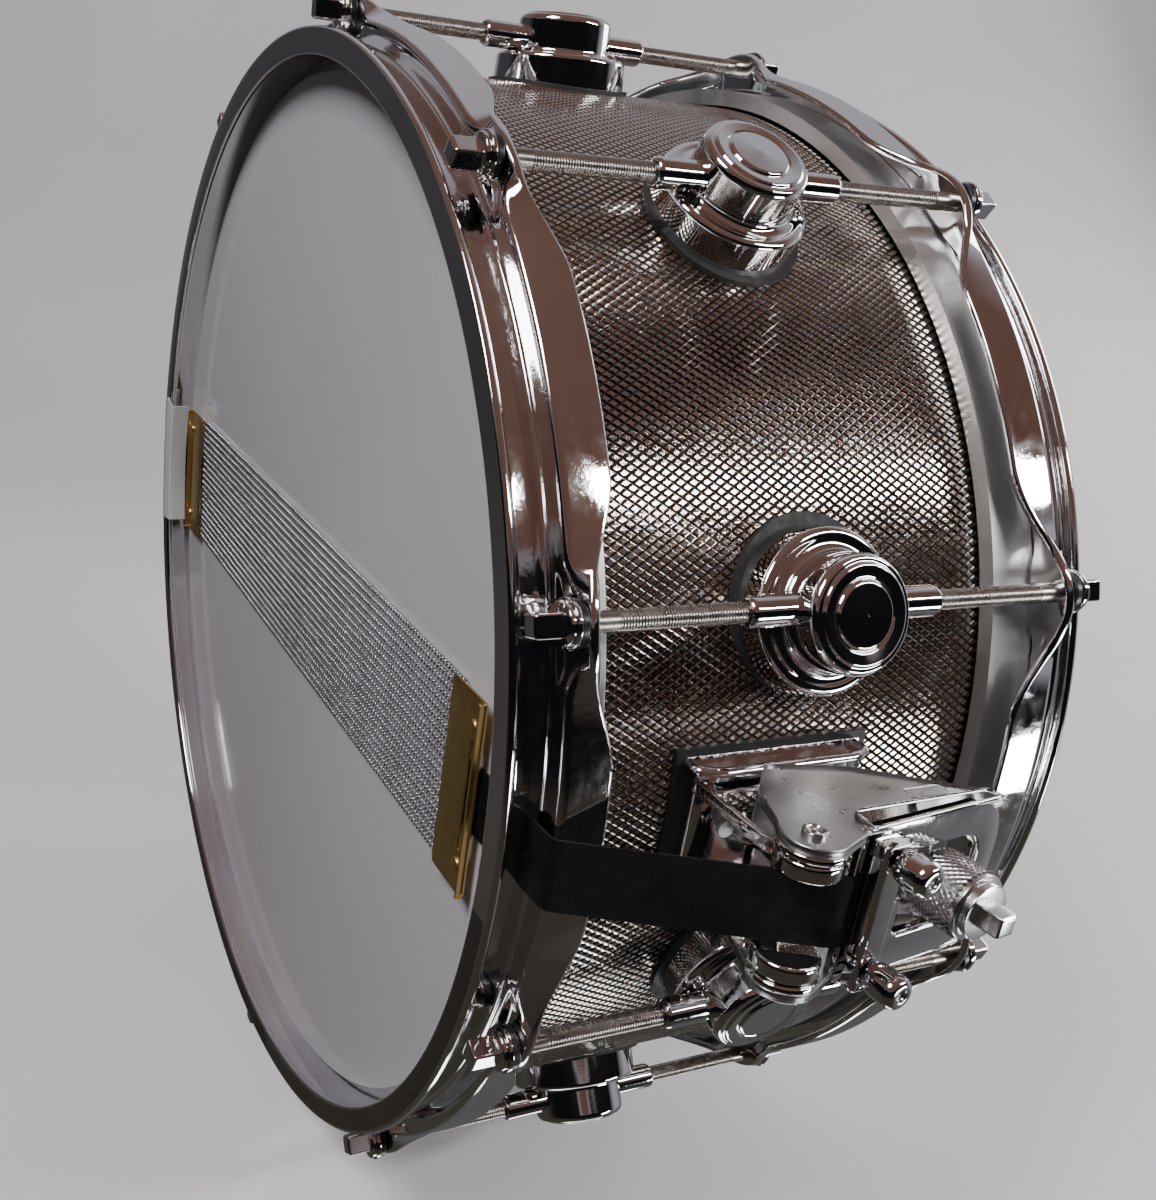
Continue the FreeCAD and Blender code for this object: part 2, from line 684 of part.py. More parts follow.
def snare_wires():
    """Twenty straight strands under the snare head."""
    length = STRAND_Y[1] - STRAND_Y[0]
    strands = []
    for index in range(STRAND_COUNT):
        x = (index - (STRAND_COUNT - 1) / 2) * STRAND_PITCH
        start = Vector(x, STRAND_Y[0], STRAND_Z)
        strands.append(Part.makeCylinder(STRAND_R, length, start, Vector(0, 1, 0)))
    return group(strands)


def wire_end_plates():
    """The two plates that the strands are soldered to."""
    near, far = PLATE_Y
    z_range = (WIRE_PLATE_Z, WIRE_PLATE_Z + WIRE_PLATE_T)
    sheet = block((-WIRE_PLATE_HALF_W, WIRE_PLATE_HALF_W), PLATE_Y, z_range)
    lip_z = (WIRE_PLATE_Z - WIRE_PLATE_LIP, WIRE_PLATE_Z + OVERLAP)
    lip = block((-WIRE_PLATE_HALF_W, WIRE_PLATE_HALF_W), (far - WIRE_PLATE_T, far), lip_z)
    plate = fuse([sheet, lip])
    return group([plate, turned(plate, 180)])


def butt_base():
    """The block on the far side of the shell that anchors the other strap."""
    body = block((-BUTT_HALF_W, BUTT_HALF_W), (SHELL_R - PAD_SINK, BUTT_DEPTH), BUTT_Z)
    seat = upright_cylinder(LUG_SEAT_R, (0, RIM_TO_RIM))
    bores = [radial_cylinder(SCREW_R, (SHELL_R, SCREW_END_R), z) for z in BUTT_SCREW_Z]
    bores += [butt_clamp_shank(x) for x in (-BUTT_SCREW_X, BUTT_SCREW_X)]
    return turned(body.cut([seat] + bores), 180)


def butt_clamp_shank(x):
    """The shank of a butt clamp screw, at -Y."""
    middle = sum(BUTT_CLAMP_Z) / 2
    return radial_cylinder(CLAMP_SCREW_R, (BUTT_DEPTH - 6, BUTT_DEPTH + STRAP_T + CLAMP_T + 1), middle, x)


def butt_clamp():
    """The bar that pinches the butt strap."""
    seat = BUTT_DEPTH + CLAMP_SEAT
    bar = block((-BUTT_HALF_W, BUTT_HALF_W), (seat, seat + CLAMP_T), BUTT_CLAMP_Z)
    return turned(bar.cut([butt_clamp_shank(x) for x in (-BUTT_SCREW_X, BUTT_SCREW_X)]), 180)


def butt_screws():
    """The butt plate's two mounting screws and two clamp screws."""
    screws = [inside_screw(z, SCREW_END_R) for z in BUTT_SCREW_Z]
    middle = sum(BUTT_CLAMP_Z) / 2
    seat = BUTT_DEPTH + CLAMP_HEAD_SEAT
    for x in (-BUTT_SCREW_X, BUTT_SCREW_X):
        barrel = radial_cylinder(BUTT_HEAD_R, (seat, seat + BUTT_HEAD_T), middle, x)
        screws.append(fuse([barrel, butt_clamp_shank(x)]))
    return turned(group(screws), 180)


def butt_strap():
    """The strap that the butt plate holds."""
    heights = (BUTT_Z[0] - STRAP_RUN_IN, BUTT_CLAMP_Z[1])
    inner = [(BUTT_DEPTH + STRAP_GAP, z) for z in heights]
    outer = [(BUTT_DEPTH + STRAP_GAP + STRAP_T, z) for z in heights]
    return turned(strap(inner, outer), 180)


def nodes():
    """Every node's name and shape."""
    snare_hoop = hoop()
    rod = tension_rod()
    made = {
        "shell": shell(),
        "vent_grommet": vent_grommet(),
        "snare_head": head(),
        "batter_head": to_batter_side(head()),
        "snare_flesh_hoop": flesh_hoop(),
        "batter_flesh_hoop": to_batter_side(flesh_hoop()),
        "snare_hoop": snare_hoop.cut(gates()),
        "batter_hoop": to_batter_side(snare_hoop),
        "lug_gaskets": group([turned(lug_gasket(), angle) for angle in lug_angles()]),
        "lug_screws": lug_screws(),
        "swivel_nuts": group(at_every_rod(swivel_nut())),
        "steel_washers": group(at_every_rod(washer(STEEL_WASHER_R, STEEL_WASHER_Z))),
        "nylon_washers": group(at_every_rod(washer(NYLON_WASHER_R, NYLON_WASHER_Z))),
        "throw_off_base": throw_off_base(),
        "mounting_gaskets": mounting_gaskets(),
        "throw_off_screws": throw_off_screws(),
        "hinge_pins": hinge_pins(),
        "magnet": magnet(),
        "throw_off_lever": throw_off_lever(),
        "strap_clamp": strap_clamp(),
        "strap_clamp_screws": clamp_screws(),
        "fine_tune_foot": fine_tune_foot(),
        "fine_tune_knob": fine_tune_knob(),
        "throw_off_strap": throw_off_strap(),
        "snare_wires": snare_wires(),
        "wire_end_plates": wire_end_plates(),
        "butt_base": butt_base(),
        "butt_clamp": butt_clamp(),
        "butt_screws": butt_screws(),
        "butt_strap": butt_strap(),
    }
    for index, angle in enumerate(lug_angles(), start=1):
        made[f"lug_{index:02d}"] = turned(lug(), angle)
        made[f"snare_rod_{index:02d}"] = turned(rod, angle)
        made[f"batter_rod_{index:02d}"] = to_batter_side(turned(rod, angle))
    return made


os.makedirs("parts", exist_ok=True)
for name, shape in nodes().items():
    shape.exportStep(f"parts/{name}.step")
    print(f"{name}: {len(shape.Solids)} solids, {shape.Volume:.0f} mm3, valid {shape.isValid()}")
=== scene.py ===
"""Blender scene of the fourteen-inch snare drum: finer visible pieces, materials, stage and camera.

The drum stands upright on its snare-side rim, as in the CAD. The photograph shows it tipped on its
side, so the camera is rolled instead. Sizes below are in millimetres and become metres in
mesh_data(). What repeats round the shell is made at -Y and turned about Z, and what both hoops have
is made for the snare side and mirrored.
"""
import math

import bpy
import numpy as np
from mathutils import Matrix, Vector


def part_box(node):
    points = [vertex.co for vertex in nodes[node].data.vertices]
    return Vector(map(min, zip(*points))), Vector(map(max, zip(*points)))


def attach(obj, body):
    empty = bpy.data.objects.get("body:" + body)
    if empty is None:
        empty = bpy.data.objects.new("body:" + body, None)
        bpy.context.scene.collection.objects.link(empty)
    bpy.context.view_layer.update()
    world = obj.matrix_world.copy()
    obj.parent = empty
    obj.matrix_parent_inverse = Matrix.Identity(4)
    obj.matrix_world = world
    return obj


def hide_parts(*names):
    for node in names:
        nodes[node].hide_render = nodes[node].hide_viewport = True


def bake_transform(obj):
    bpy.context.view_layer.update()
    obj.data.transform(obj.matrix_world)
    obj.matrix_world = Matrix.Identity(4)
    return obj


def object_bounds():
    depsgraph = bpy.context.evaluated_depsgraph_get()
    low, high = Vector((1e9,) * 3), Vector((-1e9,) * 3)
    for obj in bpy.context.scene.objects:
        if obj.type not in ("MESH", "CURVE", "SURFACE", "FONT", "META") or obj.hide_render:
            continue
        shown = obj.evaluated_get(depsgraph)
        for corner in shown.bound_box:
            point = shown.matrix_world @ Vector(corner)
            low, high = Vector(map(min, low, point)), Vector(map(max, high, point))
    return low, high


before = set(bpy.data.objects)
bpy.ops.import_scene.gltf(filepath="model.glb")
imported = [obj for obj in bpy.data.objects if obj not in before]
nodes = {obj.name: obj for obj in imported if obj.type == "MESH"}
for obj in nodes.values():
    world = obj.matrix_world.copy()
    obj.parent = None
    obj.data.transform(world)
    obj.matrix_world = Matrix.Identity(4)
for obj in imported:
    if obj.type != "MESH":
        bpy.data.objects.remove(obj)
cad_bounds = [list(corner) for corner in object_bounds()]
MM = 0.001
rng = np.random.default_rng(7)


def box_mm(node):
    """Lowest and highest corner of a CAD node, in millimetres."""
    low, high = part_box(node)
    return np.array(low) / MM, np.array(high) / MM


def centre_of(node):
    """Middle of a CAD node's box, in millimetres."""
    low, high = box_mm(node)
    return (low + high) / 2


def angle_of(node):
    """Angle round the drum of the middle of a CAD node's box, from -Y towards -X, in radians."""
    x, y, _ = centre_of(node)
    return math.atan2(-x, -y)


LUG_COUNT = 10
AXIS_R = 0.01  # closed sections start this far from their axis
RIM_TO_RIM = box_mm("batter_hoop")[1][2]
MID_Z = RIM_TO_RIM / 2
SHELL_R = box_mm("shell")[1][0]
ROD_CIRCLE_R = float(np.hypot(*centre_of("snare_rod_01")[:2]))
# A lug's box isn't centred on its axis, so most of these are up to half a degree off the rods
LUG_ANGLES = [angle_of(f"lug_{index:02d}") for index in range(1, LUG_COUNT + 1)]

# Hoop section, from the rim's face
LIP_INNER_R = 175.6
LIP_R = 184.0
LIP_H = 2.6
WALL_INNER_R = 176.9
WALL_R = 179.4
SHELF_Z = (12.6, 15.0)
SKIRT_R = 187.6
SKIRT_T = 2.4
SKIRT_END_Z = 26.5
EAR_Z = (14.5, 17.4)
EAR_TIP_R = 194.2
EAR_ROOT_R = 183.2
EAR_WEB_R = 181.6
WAVE_HALF_W = 35.0
DENT_HALF_W = (6.5, 17.0)
GATE_HALF_W = 29.0
GATE_Z = (3.2, 12.2)
GATE_CORNER = 3.0

# Rods, washers and nuts
HEAD_TIP_Z = 2.0
HEAD_HALF = 2.9
HEAD_CORNER = 0.55
COLLAR_Z = (9.3, 11.0)
COLLAR_R = 5.5
COLLAR_FACE_R = 3.6
ROD_R = 2.7
ROD_END_Z = 75.2
THREAD_START_Z = 24.0
THREAD_PITCH = 0.8
THREAD_DEPTH = 0.18
# A washer's inner and outer radius, low and high z
STEEL_WASHER = (3.1, 6.1, 11.05, 12.25)
NYLON_WASHER = (3.1, 5.6, 12.3, 14.45)
NUT_R = 4.1
NUT_BORE_R = 2.8
NUT_FACE_R = 3.3
NUT_Z = (59.6, 86.2)

# Snare-side flesh hoop
FLESH_END_Z = 26.8

# Knurl
KNURL_AROUND = 440
KNURL_PITCH_Z = 3.94
KNURL_Z = (28.0, 150.4)
KNURL_TOP = 0.34
KNURL_GROOVE = 0.03
KNURL_FLAT = 0.52
KNURL_TILT = 0.012
VENT_CLEAR = 8.0

# Throw-off: depths are along -Y from the drum's axis, half widths along X
HINGE = (216.0, 61.0)
EAR_X = (11.0, 15.7)
CHEEK_X = (16.0, 21.0)
CHEEK_T = 3.2
CHEEK_EYE_R = 8.5
BRACKET_EYE_R = 8.2
EYE_BEARINGS = [10, -15, -40, -65, -90, -115, -140]
EYE_ROUNDING = 1.5
RIB_Z = (75, 119)
RIB_W = (8.5, 4.5)  # at its foot and its top
BRIDGE = (204, 209, 97, 109)  # inner and outer depth, low and high z
BASE_HALF_W = 18.0
PLATE_LOW = (220.0, 73.0)
PLATE_HIGH = (214.5, 122.0)
PLATE_T = 2.8
PLATE_TILT = math.atan2(PLATE_LOW[0] - PLATE_HIGH[0], PLATE_HIGH[1] - PLATE_LOW[1])
WINDOW_HALF_W = 12.0
WINDOW_Z = (91.0, 115.0)
CLAMP_HALF_W = 19.5
CLAMP_Z = (74.0, 83.0)
CLAMP_SCREW_X = 15.0
CLAMP_OUT = (0.2, 5.2)  # its faces, out from the strap
KNOB_Z = 103.0
KNOB_R = 9.0
KNOB_DEPTH = (214.0, 227.5)
KNOB_EDGE = 0.4
KNOB_PLAIN = 0.9
KNOB_KNURL = {"around": 34, "pitch": 1.9, "top": 0.5, "groove": 0.02, "flat": 0.4, "tilt": 0.0}
KNOB_DISC_R = 7.2
KNOB_DISC_T = 2.2
KNOB_KEY_HALF = 2.8
KNOB_KEY_L = 6.1
KNOB_KEY_END = 8.2
KNOB_PIVOT_DEPTH = 209
FINE_SCREW_R = 2.9
FINE_SCREW_START = 192.4
BUTT_SCREW_X = 13.0
BUTT_HEAD_R = (3.2, 3.4, 2.2)  # at its foot, below its crown and at its tip
BUTT_BLOCK = (174, 6, 8)  # depth of its back, and its chamfers along the depth and z
STRAP_W = 19.0
STRAP_T = 0.6
STRAP_START = (145.0, 7.7)
STRAP_CORNER = (190.2, 10.2)
STRAP_BENDS = [2.2, 3.0]
STRAP_MEETS_PLATE_Z = 70.6
STRAP_SPLIT_Z = 16
TAB_HALF_W = 29.0

# Outlines, one corner a row: two coordinates, then the corner's rounding. The coordinates are a radius
# and a length along the axis on turned parts, radius and z on the tab, and depth and z on flat parts.
LUG_SECTION = [
    (AXIS_R, 173.6, 0.1), (21.9, 173.6, 0.1), (21.4, 184.2, 1.4), (19.6, 185.1, 1.2), (17.6, 184.5, 0.9),
    (15.3, 185.4, 1.6), (15.1, 195.2, 1.3), (14.2, 196.6, 0.8), (12.9, 196.6, 0.35), (12.3, 197.4, 0.5),
    (9.3, 197.0, 0.3), (8.8, 196.6, 0.3), (8.2, 197.5, 0.7), (AXIS_R, 197.9, 0.1),
]
PIN_SECTION = [(AXIS_R, -1, 0.1), (2.9, -1, 0.1), (2.9, 0.5, 0.4), (2.0, 0.5, 0.3), (1.7, 0.1, 0.2),
               (AXIS_R, 0.1, 0.1)]
CLAMP_HEAD = [(AXIS_R, 0, 0.1), (3.6, 0, 1), (4.4, 2.5, 2), (4.4, 7.5, 2), (3.4, 9, 1), (1.6, 9, 0.4),
              (1.4, 8.2, 0.2), (AXIS_R, 8.2, 0.1)]
BUMP_SECTION = [(AXIS_R, 0.1, 0.1), (2.0, 0.1, 0.1), (1.7, -0.8, 0.8), (AXIS_R, -1.0, 0.1)]
TAB_SECTION = [(167.0, 7.0, 0.1), (167.0, -0.6, 0.9), (178.4, -0.6, 0.1), (178.4, -0.1, 0.1),
               (167.5, -0.1, 0.5), (167.5, 7.0, 0.1)]
CHEEK_BACK = [(186, 70, 3), (192, 92, 6), (204, 110, 10), (211.5, 121.5, 2), (214.4, 121.5, 1),
              (219.9, 73.2, 2)]
CHEEK_HEEL = (198, 59, 8)
BRACKET_PAD = [(174, 54, 0.5), (181, 54, 2.5), (184, 60, 6), (184, 104, 6), (181, 110, 2.5),
               (174, 110, 0.5)]
BRACKET_ARM = [(180, 54, 1), (211, 54.6, 5), (216, 61, 5), (212, 68.1, 5), (187, 87, 8), (180, 97, 1)]

# Wire end plates
END_PLATE_L = 19
END_PLATE_T = 0.9
LIP_T = 1.2
SLOT_HALF_W = 16
SLOT_INSET = (5.4, 3.6)  # its two long sides, in from the plate's edge
BUMP_X = 20.0
BUMP_INSET = 4.5

# Snare wires
STRAND_COUNT = 20
STRAND_PITCH = 2.8
COIL_R = 0.66
WIRE_R = 0.29
COIL_PITCH = 1.9
STRAND_Z = 8.8
STRAND_END_Y = 142.0


# ---- Mesh helpers ----

def turned(points, angle):
    """Points made at -Y, turned about Z from -Y towards -X."""
    cosine, sine = math.cos(-angle), math.sin(-angle)
    x, y = points[:, 0], points[:, 1]
    return np.column_stack([x * cosine - y * sine, x * sine + y * cosine, points[:, 2]])


def mirrored(mesh):
    """A snare-side (points, faces) pair mirrored to the batter side."""
    points, faces = mesh
    flipped = points.copy()
    flipped[:, 2] = RIM_TO_RIM - points[:, 2]
    return flipped, [face[::-1] for face in faces]


def joined(meshes):
    """One (points, faces) pair from several."""
    all_points, all_faces, start = [], [], 0
    for points, faces in meshes:
        all_points.append(points)
        all_faces += [tuple(corner + start for corner in face) for face in faces]
        start += len(points)
    return np.concatenate(all_points), all_faces


def grid_faces(rows, columns, wrap_rows=False, wrap_columns=False):
    """Quads over a grid of points stored row by row."""
    faces = []
    for row in range(rows if wrap_rows else rows - 1):
        here, there = row * columns, (row + 1) % rows * columns
        for column in range(columns if wrap_columns else columns - 1):
            after = (column + 1) % columns
            faces.append((here + column, here + after, there + after, there + column))
    return faces


def rounded(corners, radii, steps=4):
    """A path with its corners rounded. corners is (..., corner, 2), closed, one radius a corner."""
    corners = np.asarray(corners, float)
    path = []
    for index, radius in enumerate(radii):
        here = corners[..., index, :]
        before = corners[..., index - 1, :] - here
        after = corners[..., (index + 1) % len(radii), :] - here
        length_before = np.linalg.norm(before, axis=-1, keepdims=True)
        length_after = np.linalg.norm(after, axis=-1, keepdims=True)
        reach = np.minimum(radius, 0.49 * np.minimum(length_before, length_after))
        start = here + before / length_before * reach
        end = here + after / length_after * reach
        for step in range(steps):
            t = step / (steps - 1)
            path.append((1 - t) ** 2 * start + 2 * t * (1 - t) * here + t ** 2 * end)
    return np.stack(path, axis=-2)


def section(rows, steps=4):
    """A closed outline from rows of two coordinates and the corner's rounding."""
    return rounded([row[:2] for row in rows], [row[2] for row in rows], steps)


def half_turned(mesh):
    """A body made at -Y, moved to the butt side at +Y."""
    points, faces = mesh
    return points * [-1, -1, 1], faces


def lathe(profile, segments=64):
    """A body of revolution about Z from a closed (radius, height) path."""
    angles = np.linspace(0, 2 * math.pi, segments, endpoint=False)
    radius = np.outer(np.ones(segments), profile[:, 0])
    height = np.outer(np.ones(segments), profile[:, 1])
    x = radius * np.cos(angles)[:, None]
    y = radius * np.sin(angles)[:, None]
    points = np.stack([x, y, height], axis=-1).reshape(-1, 3)
    return points, grid_faces(segments, len(profile), True, True)


def radial(mesh, z=None):
    """A lathed body whose axis is turned to point out of the shell at -Y."""
    points, faces = mesh
    height = MID_Z if z is None else z
    moved = np.column_stack([points[:, 0], -points[:, 2], points[:, 1] + height])
    return moved, faces


def mesh_data(name, mesh):
    """Blender mesh data from points in millimetres and faces."""
    points, faces = mesh
    data = bpy.data.meshes.new(name)
    data.from_pydata((points * MM).tolist(), [], faces)
    return data


def add_piece(name, mesh, body, material, sharp=False, replaces=()):
    """A Blender object from points in millimetres and faces, riding on its body."""
    data = mesh_data(name, mesh)
    data.update()
    if not sharp:
        data.shade_smooth()
    return place(name, data, body, material, replaces)


def place(name, data, body, material, replaces=(), angle=None):
    """An object that shows a mesh, turned about the drum's axis if an angle is given."""
    piece = bpy.data.objects.new(name, data)
    bpy.context.scene.collection.objects.link(piece)
    if not data.materials:
        data.materials.append(material)
    if angle is not None:
        piece.matrix_world = Matrix.Rotation(-angle, 4, "Z")
    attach(piece, body)
    if replaces:
        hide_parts(*replaces)
    return piece


def even_normals(piece):
    """Keeps flat faces flat next to small roundings."""
    modifier = piece.modifiers.new("normals", "WEIGHTED_NORMAL")
    modifier.keep_sharp = True


# ---- Materials ----

def new_material(name):
    """A material with its node tree and main shader."""
    material = bpy.data.materials.new(name)
    material.use_nodes = True
    return material, material.node_tree, material.node_tree.nodes["Principled BSDF"]


def link(tree, source, target):
    """Joins two sockets."""
    tree.links.new(source, target)


def noise(tree, scale, detail=3.0):
    """Noise over the object's own coordinates; its value socket is returned."""
    coordinates = tree.nodes.new("ShaderNodeTexCoord")
    texture = tree.nodes.new("ShaderNodeTexNoise")
    texture.inputs["Scale"].default_value = scale
    texture.inputs["Detail"].default_value = detail
    link(tree, coordinates.outputs["Object"], texture.inputs["Vector"])
    return texture.outputs["Fac"]


def ramp(tree, source, stops):
    """A colour ramp over a value."""
    node = tree.nodes.new("ShaderNodeValToRGB")
    elements = node.color_ramp.elements
    while len(elements) < len(stops):
        elements.new(0.5)
    for element, (position, colour) in zip(elements, stops):
        element.position = position
        element.color = (*colour, 1.0)
    link(tree, source, node.inputs["Fac"])
    return node.outputs["Color"]


def mixed(tree, share, first, second, blend="MIX"):
    """Two colours mixed by a share, each a socket or a plain value."""
    node = tree.nodes.new("ShaderNodeMixRGB")
    node.blend_type = blend
    for name, source in (("Fac", share), ("Color1", first), ("Color2", second)):
        if isinstance(source, bpy.types.NodeSocket):
            link(tree, source, node.inputs[name])
        else:
            node.inputs[name].default_value = source
    return node.outputs["Color"]


def spread(tree, source, low, high, start=0.3, end=0.7):
    """A value mapped from one range to another."""
    node = tree.nodes.new("ShaderNodeMapRange")
    node.inputs["From Min"].default_value = start
    node.inputs["From Max"].default_value = end
    node.inputs["To Min"].default_value = low
    node.inputs["To Max"].default_value = high
    link(tree, source, node.inputs["Value"])
    return node.outputs["Result"]


def add_bump(tree, shader, source, strength, distance):
    """Fine relief from a value."""
    node = tree.nodes.new("ShaderNodeBump")
    node.inputs["Strength"].default_value = strength
    node.inputs["Distance"].default_value = distance
    link(tree, source, node.inputs["Height"])
    link(tree, node.outputs["Normal"], shader.inputs["Normal"])


def dot(tree, source, axis):
    """The part of a direction that lies along an axis."""
    node = tree.nodes.new("ShaderNodeVectorMath")
    node.operation = "DOT_PRODUCT"
    node.inputs[1].default_value = axis
    link(tree, source, node.inputs[0])
    return node.outputs["Value"]


def metal(name, dark, light, roughness, grain=260.0, bump=0.04, patch=18.0):
    """A metal whose colour and polish vary a little, with fine pits."""
    material, tree, shader = new_material(name)
    shader.inputs["Metallic"].default_value = 1.0
    link(tree, ramp(tree, noise(tree, patch), [(0.3, dark), (0.7, light)]), shader.inputs["Base Color"])
    link(tree, spread(tree, noise(tree, grain), *roughness), shader.inputs["Roughness"])
    add_bump(tree, shader, noise(tree, grain * 3), bump, 0.0002)
    return material


def plastic(name, dark, light, roughness, grain=400.0, bump=0.15):
    """A dull non-metal with a fine surface."""
    material, tree, shader = new_material(name)
    shader.inputs["Specular IOR Level"].default_value = 0.4
    link(tree, ramp(tree, noise(tree, 30), [(0.3, dark), (0.7, light)]), shader.inputs["Base Color"])
    link(tree, spread(tree, noise(tree, grain), *roughness), shader.inputs["Roughness"])
    add_bump(tree, shader, noise(tree, grain), bump, 0.0004)
    return material


def knurl_metal():
    """Dark nickel with painted shade: the colour darkens from the raised diamonds' tops down into the
    grooves.
    """
    material, tree, shader = new_material("knurled_nickel")
    shader.inputs["Metallic"].default_value = 1.0
    coordinates = tree.nodes.new("ShaderNodeTexCoord")
    flat = tree.nodes.new("ShaderNodeVectorMath")
    flat.operation = "MULTIPLY"
    flat.inputs[1].default_value = (1, 1, 0)
    link(tree, coordinates.outputs["Object"], flat.inputs[0])
    length = tree.nodes.new("ShaderNodeVectorMath")
    length.operation = "LENGTH"
    link(tree, flat.outputs["Vector"], length.inputs[0])
    height = spread(
        tree, length.outputs["Value"], 0.0, 1.0,
        (SHELL_R + KNURL_GROOVE) * MM, (SHELL_R + KNURL_TOP) * MM,
    )
    # Painted shade: dark in the grooves, bright on the diamonds' tops, by height above the shell.
    painted_groove_shade = ramp(tree, height, [(0.0, (0.09, 0.085, 0.08)), (0.9, (0.66, 0.62, 0.59))])
    tint = ramp(
        tree, noise(tree, 420, 2.0),
        [(0.35, (0.90, 0.80, 0.72)), (0.5, (1.0, 0.98, 0.96)), (0.65, (0.88, 0.90, 0.95))],
    )
    link(tree, mixed(tree, 1.0, painted_groove_shade, tint, "MULTIPLY"), shader.inputs["Base Color"])
    link(tree, spread(tree, noise(tree, 150), 0.09, 0.15), shader.inputs["Roughness"])
    add_bump(tree, shader, noise(tree, 2500), 0.3, 0.0001)
    return material


def film(name, colour, cloudy, roughness, alpha):
    """A drum film: smooth plastic with a faint cloud in it."""
    material, tree, shader = new_material(name)
    link(tree, ramp(tree, noise(tree, 5.0, 4.0), [(0.35, colour), (0.65, cloudy)]),
         shader.inputs["Base Color"])
    link(tree, spread(tree, noise(tree, 40), *roughness), shader.inputs["Roughness"])
    shader.inputs["Alpha"].default_value = alpha
    shader.inputs["IOR"].default_value = 1.6
    shader.inputs["Coat Weight"].default_value = 0.5
    shader.inputs["Coat Roughness"].default_value = 0.05
    add_bump(tree, shader, noise(tree, 9.0, 2.0), 0.08, 0.002)
    return material


def woven_strap():
    """Black ribbon with a fine cross weave."""
    material, tree, shader = new_material("black_ribbon")
    coordinates = tree.nodes.new("ShaderNodeTexCoord")
    wave = tree.nodes.new("ShaderNodeTexWave")
    wave.bands_direction = "DIAGONAL"
    wave.inputs["Scale"].default_value = 900
    wave.inputs["Distortion"].default_value = 1.0
    link(tree, coordinates.outputs["Object"], wave.inputs["Vector"])
    shader.inputs["Specular IOR Level"].default_value = 0.25
    colour = ramp(tree, wave.outputs["Fac"], [(0.2, (0.003, 0.003, 0.003)), (0.8, (0.007, 0.007, 0.007))])
    link(tree, colour, shader.inputs["Base Color"])
    link(tree, spread(tree, noise(tree, 200), 0.45, 0.65), shader.inputs["Roughness"])
    add_bump(tree, shader, wave.outputs["Fac"], 0.35, 0.0003)
    return material


cast_chrome = metal("cast_chrome", (0.42, 0.41, 0.42), (0.48, 0.48, 0.49), (0.26, 0.34), grain=120,
                    bump=0.0)
knob_steel = metal("knob_steel", (0.66, 0.66, 0.68), (0.72, 0.72, 0.74), (0.20, 0.26), bump=0.02)
chrome = metal("chrome", (0.74, 0.73, 0.74), (0.86, 0.86, 0.88), (0.02, 0.07))
hoop_chrome = metal("hoop_chrome", (0.72, 0.70, 0.71), (0.84, 0.84, 0.86), (0.03, 0.09), bump=0.08)
rod_steel = metal("rod_steel", (0.34, 0.31, 0.29), (0.40, 0.37, 0.34), (0.24, 0.32), bump=0.02, patch=60)
zinc = metal("zinc_plated_steel", (0.55, 0.55, 0.56), (0.68, 0.68, 0.66), (0.25, 0.4))
wire_steel = metal("wire_steel", (0.50, 0.50, 0.53), (0.68, 0.68, 0.72), (0.14, 0.24), patch=120)
aluminium = metal("flesh_aluminium", (0.80, 0.80, 0.80), (0.84, 0.84, 0.85), (0.36, 0.42), bump=0.02,
                  patch=40)
brass = metal("brass", (0.72, 0.50, 0.20), (0.82, 0.58, 0.25), (0.34, 0.42), bump=0.02, patch=60)
plain_nickel = metal("plain_dark_nickel", (0.085, 0.080, 0.078), (0.10, 0.095, 0.09), (0.22, 0.30),
                     bump=0.02)
knurled_nickel = knurl_metal()
rubber = plastic("black_rubber", (0.012, 0.012, 0.012), (0.030, 0.029, 0.028), (0.5, 0.7))
nylon = plastic("black_nylon", (0.010, 0.010, 0.011), (0.022, 0.022, 0.024), (0.25, 0.4), bump=0.08)
ribbon = woven_strap()
clear_film = film("hazy_clear_film", (0.66, 0.64, 0.70), (0.72, 0.70, 0.76), (0.10, 0.16), 0.96)
strap_plastic = plastic("white_plastic", (0.62, 0.62, 0.63), (0.72, 0.72, 0.73), (0.3, 0.42), bump=0.05)
coated_film = film("coated_film", (0.78, 0.78, 0.76), (0.84, 0.84, 0.82), (0.5, 0.62), 1.0)


# ---- Hoops ----

def ease(value, start, end):
    """0 up to start, 1 from end on, and a smooth step between."""
    t = np.clip((value - start) / (end - start), 0, 1)
    return t * t * (3 - 2 * t)


def hoop_stations():
    """Arc lengths along one lug's share of the rod circle, closer together at the ear."""
    half = math.pi * ROD_CIRCLE_R / LUG_COUNT
    side = np.concatenate([np.arange(1, 14, 1.0), np.arange(14, 40, 2.0), np.arange(40, half - 2, 4.0)])
    return np.concatenate([-side[::-1], [0.0], side, [half]])


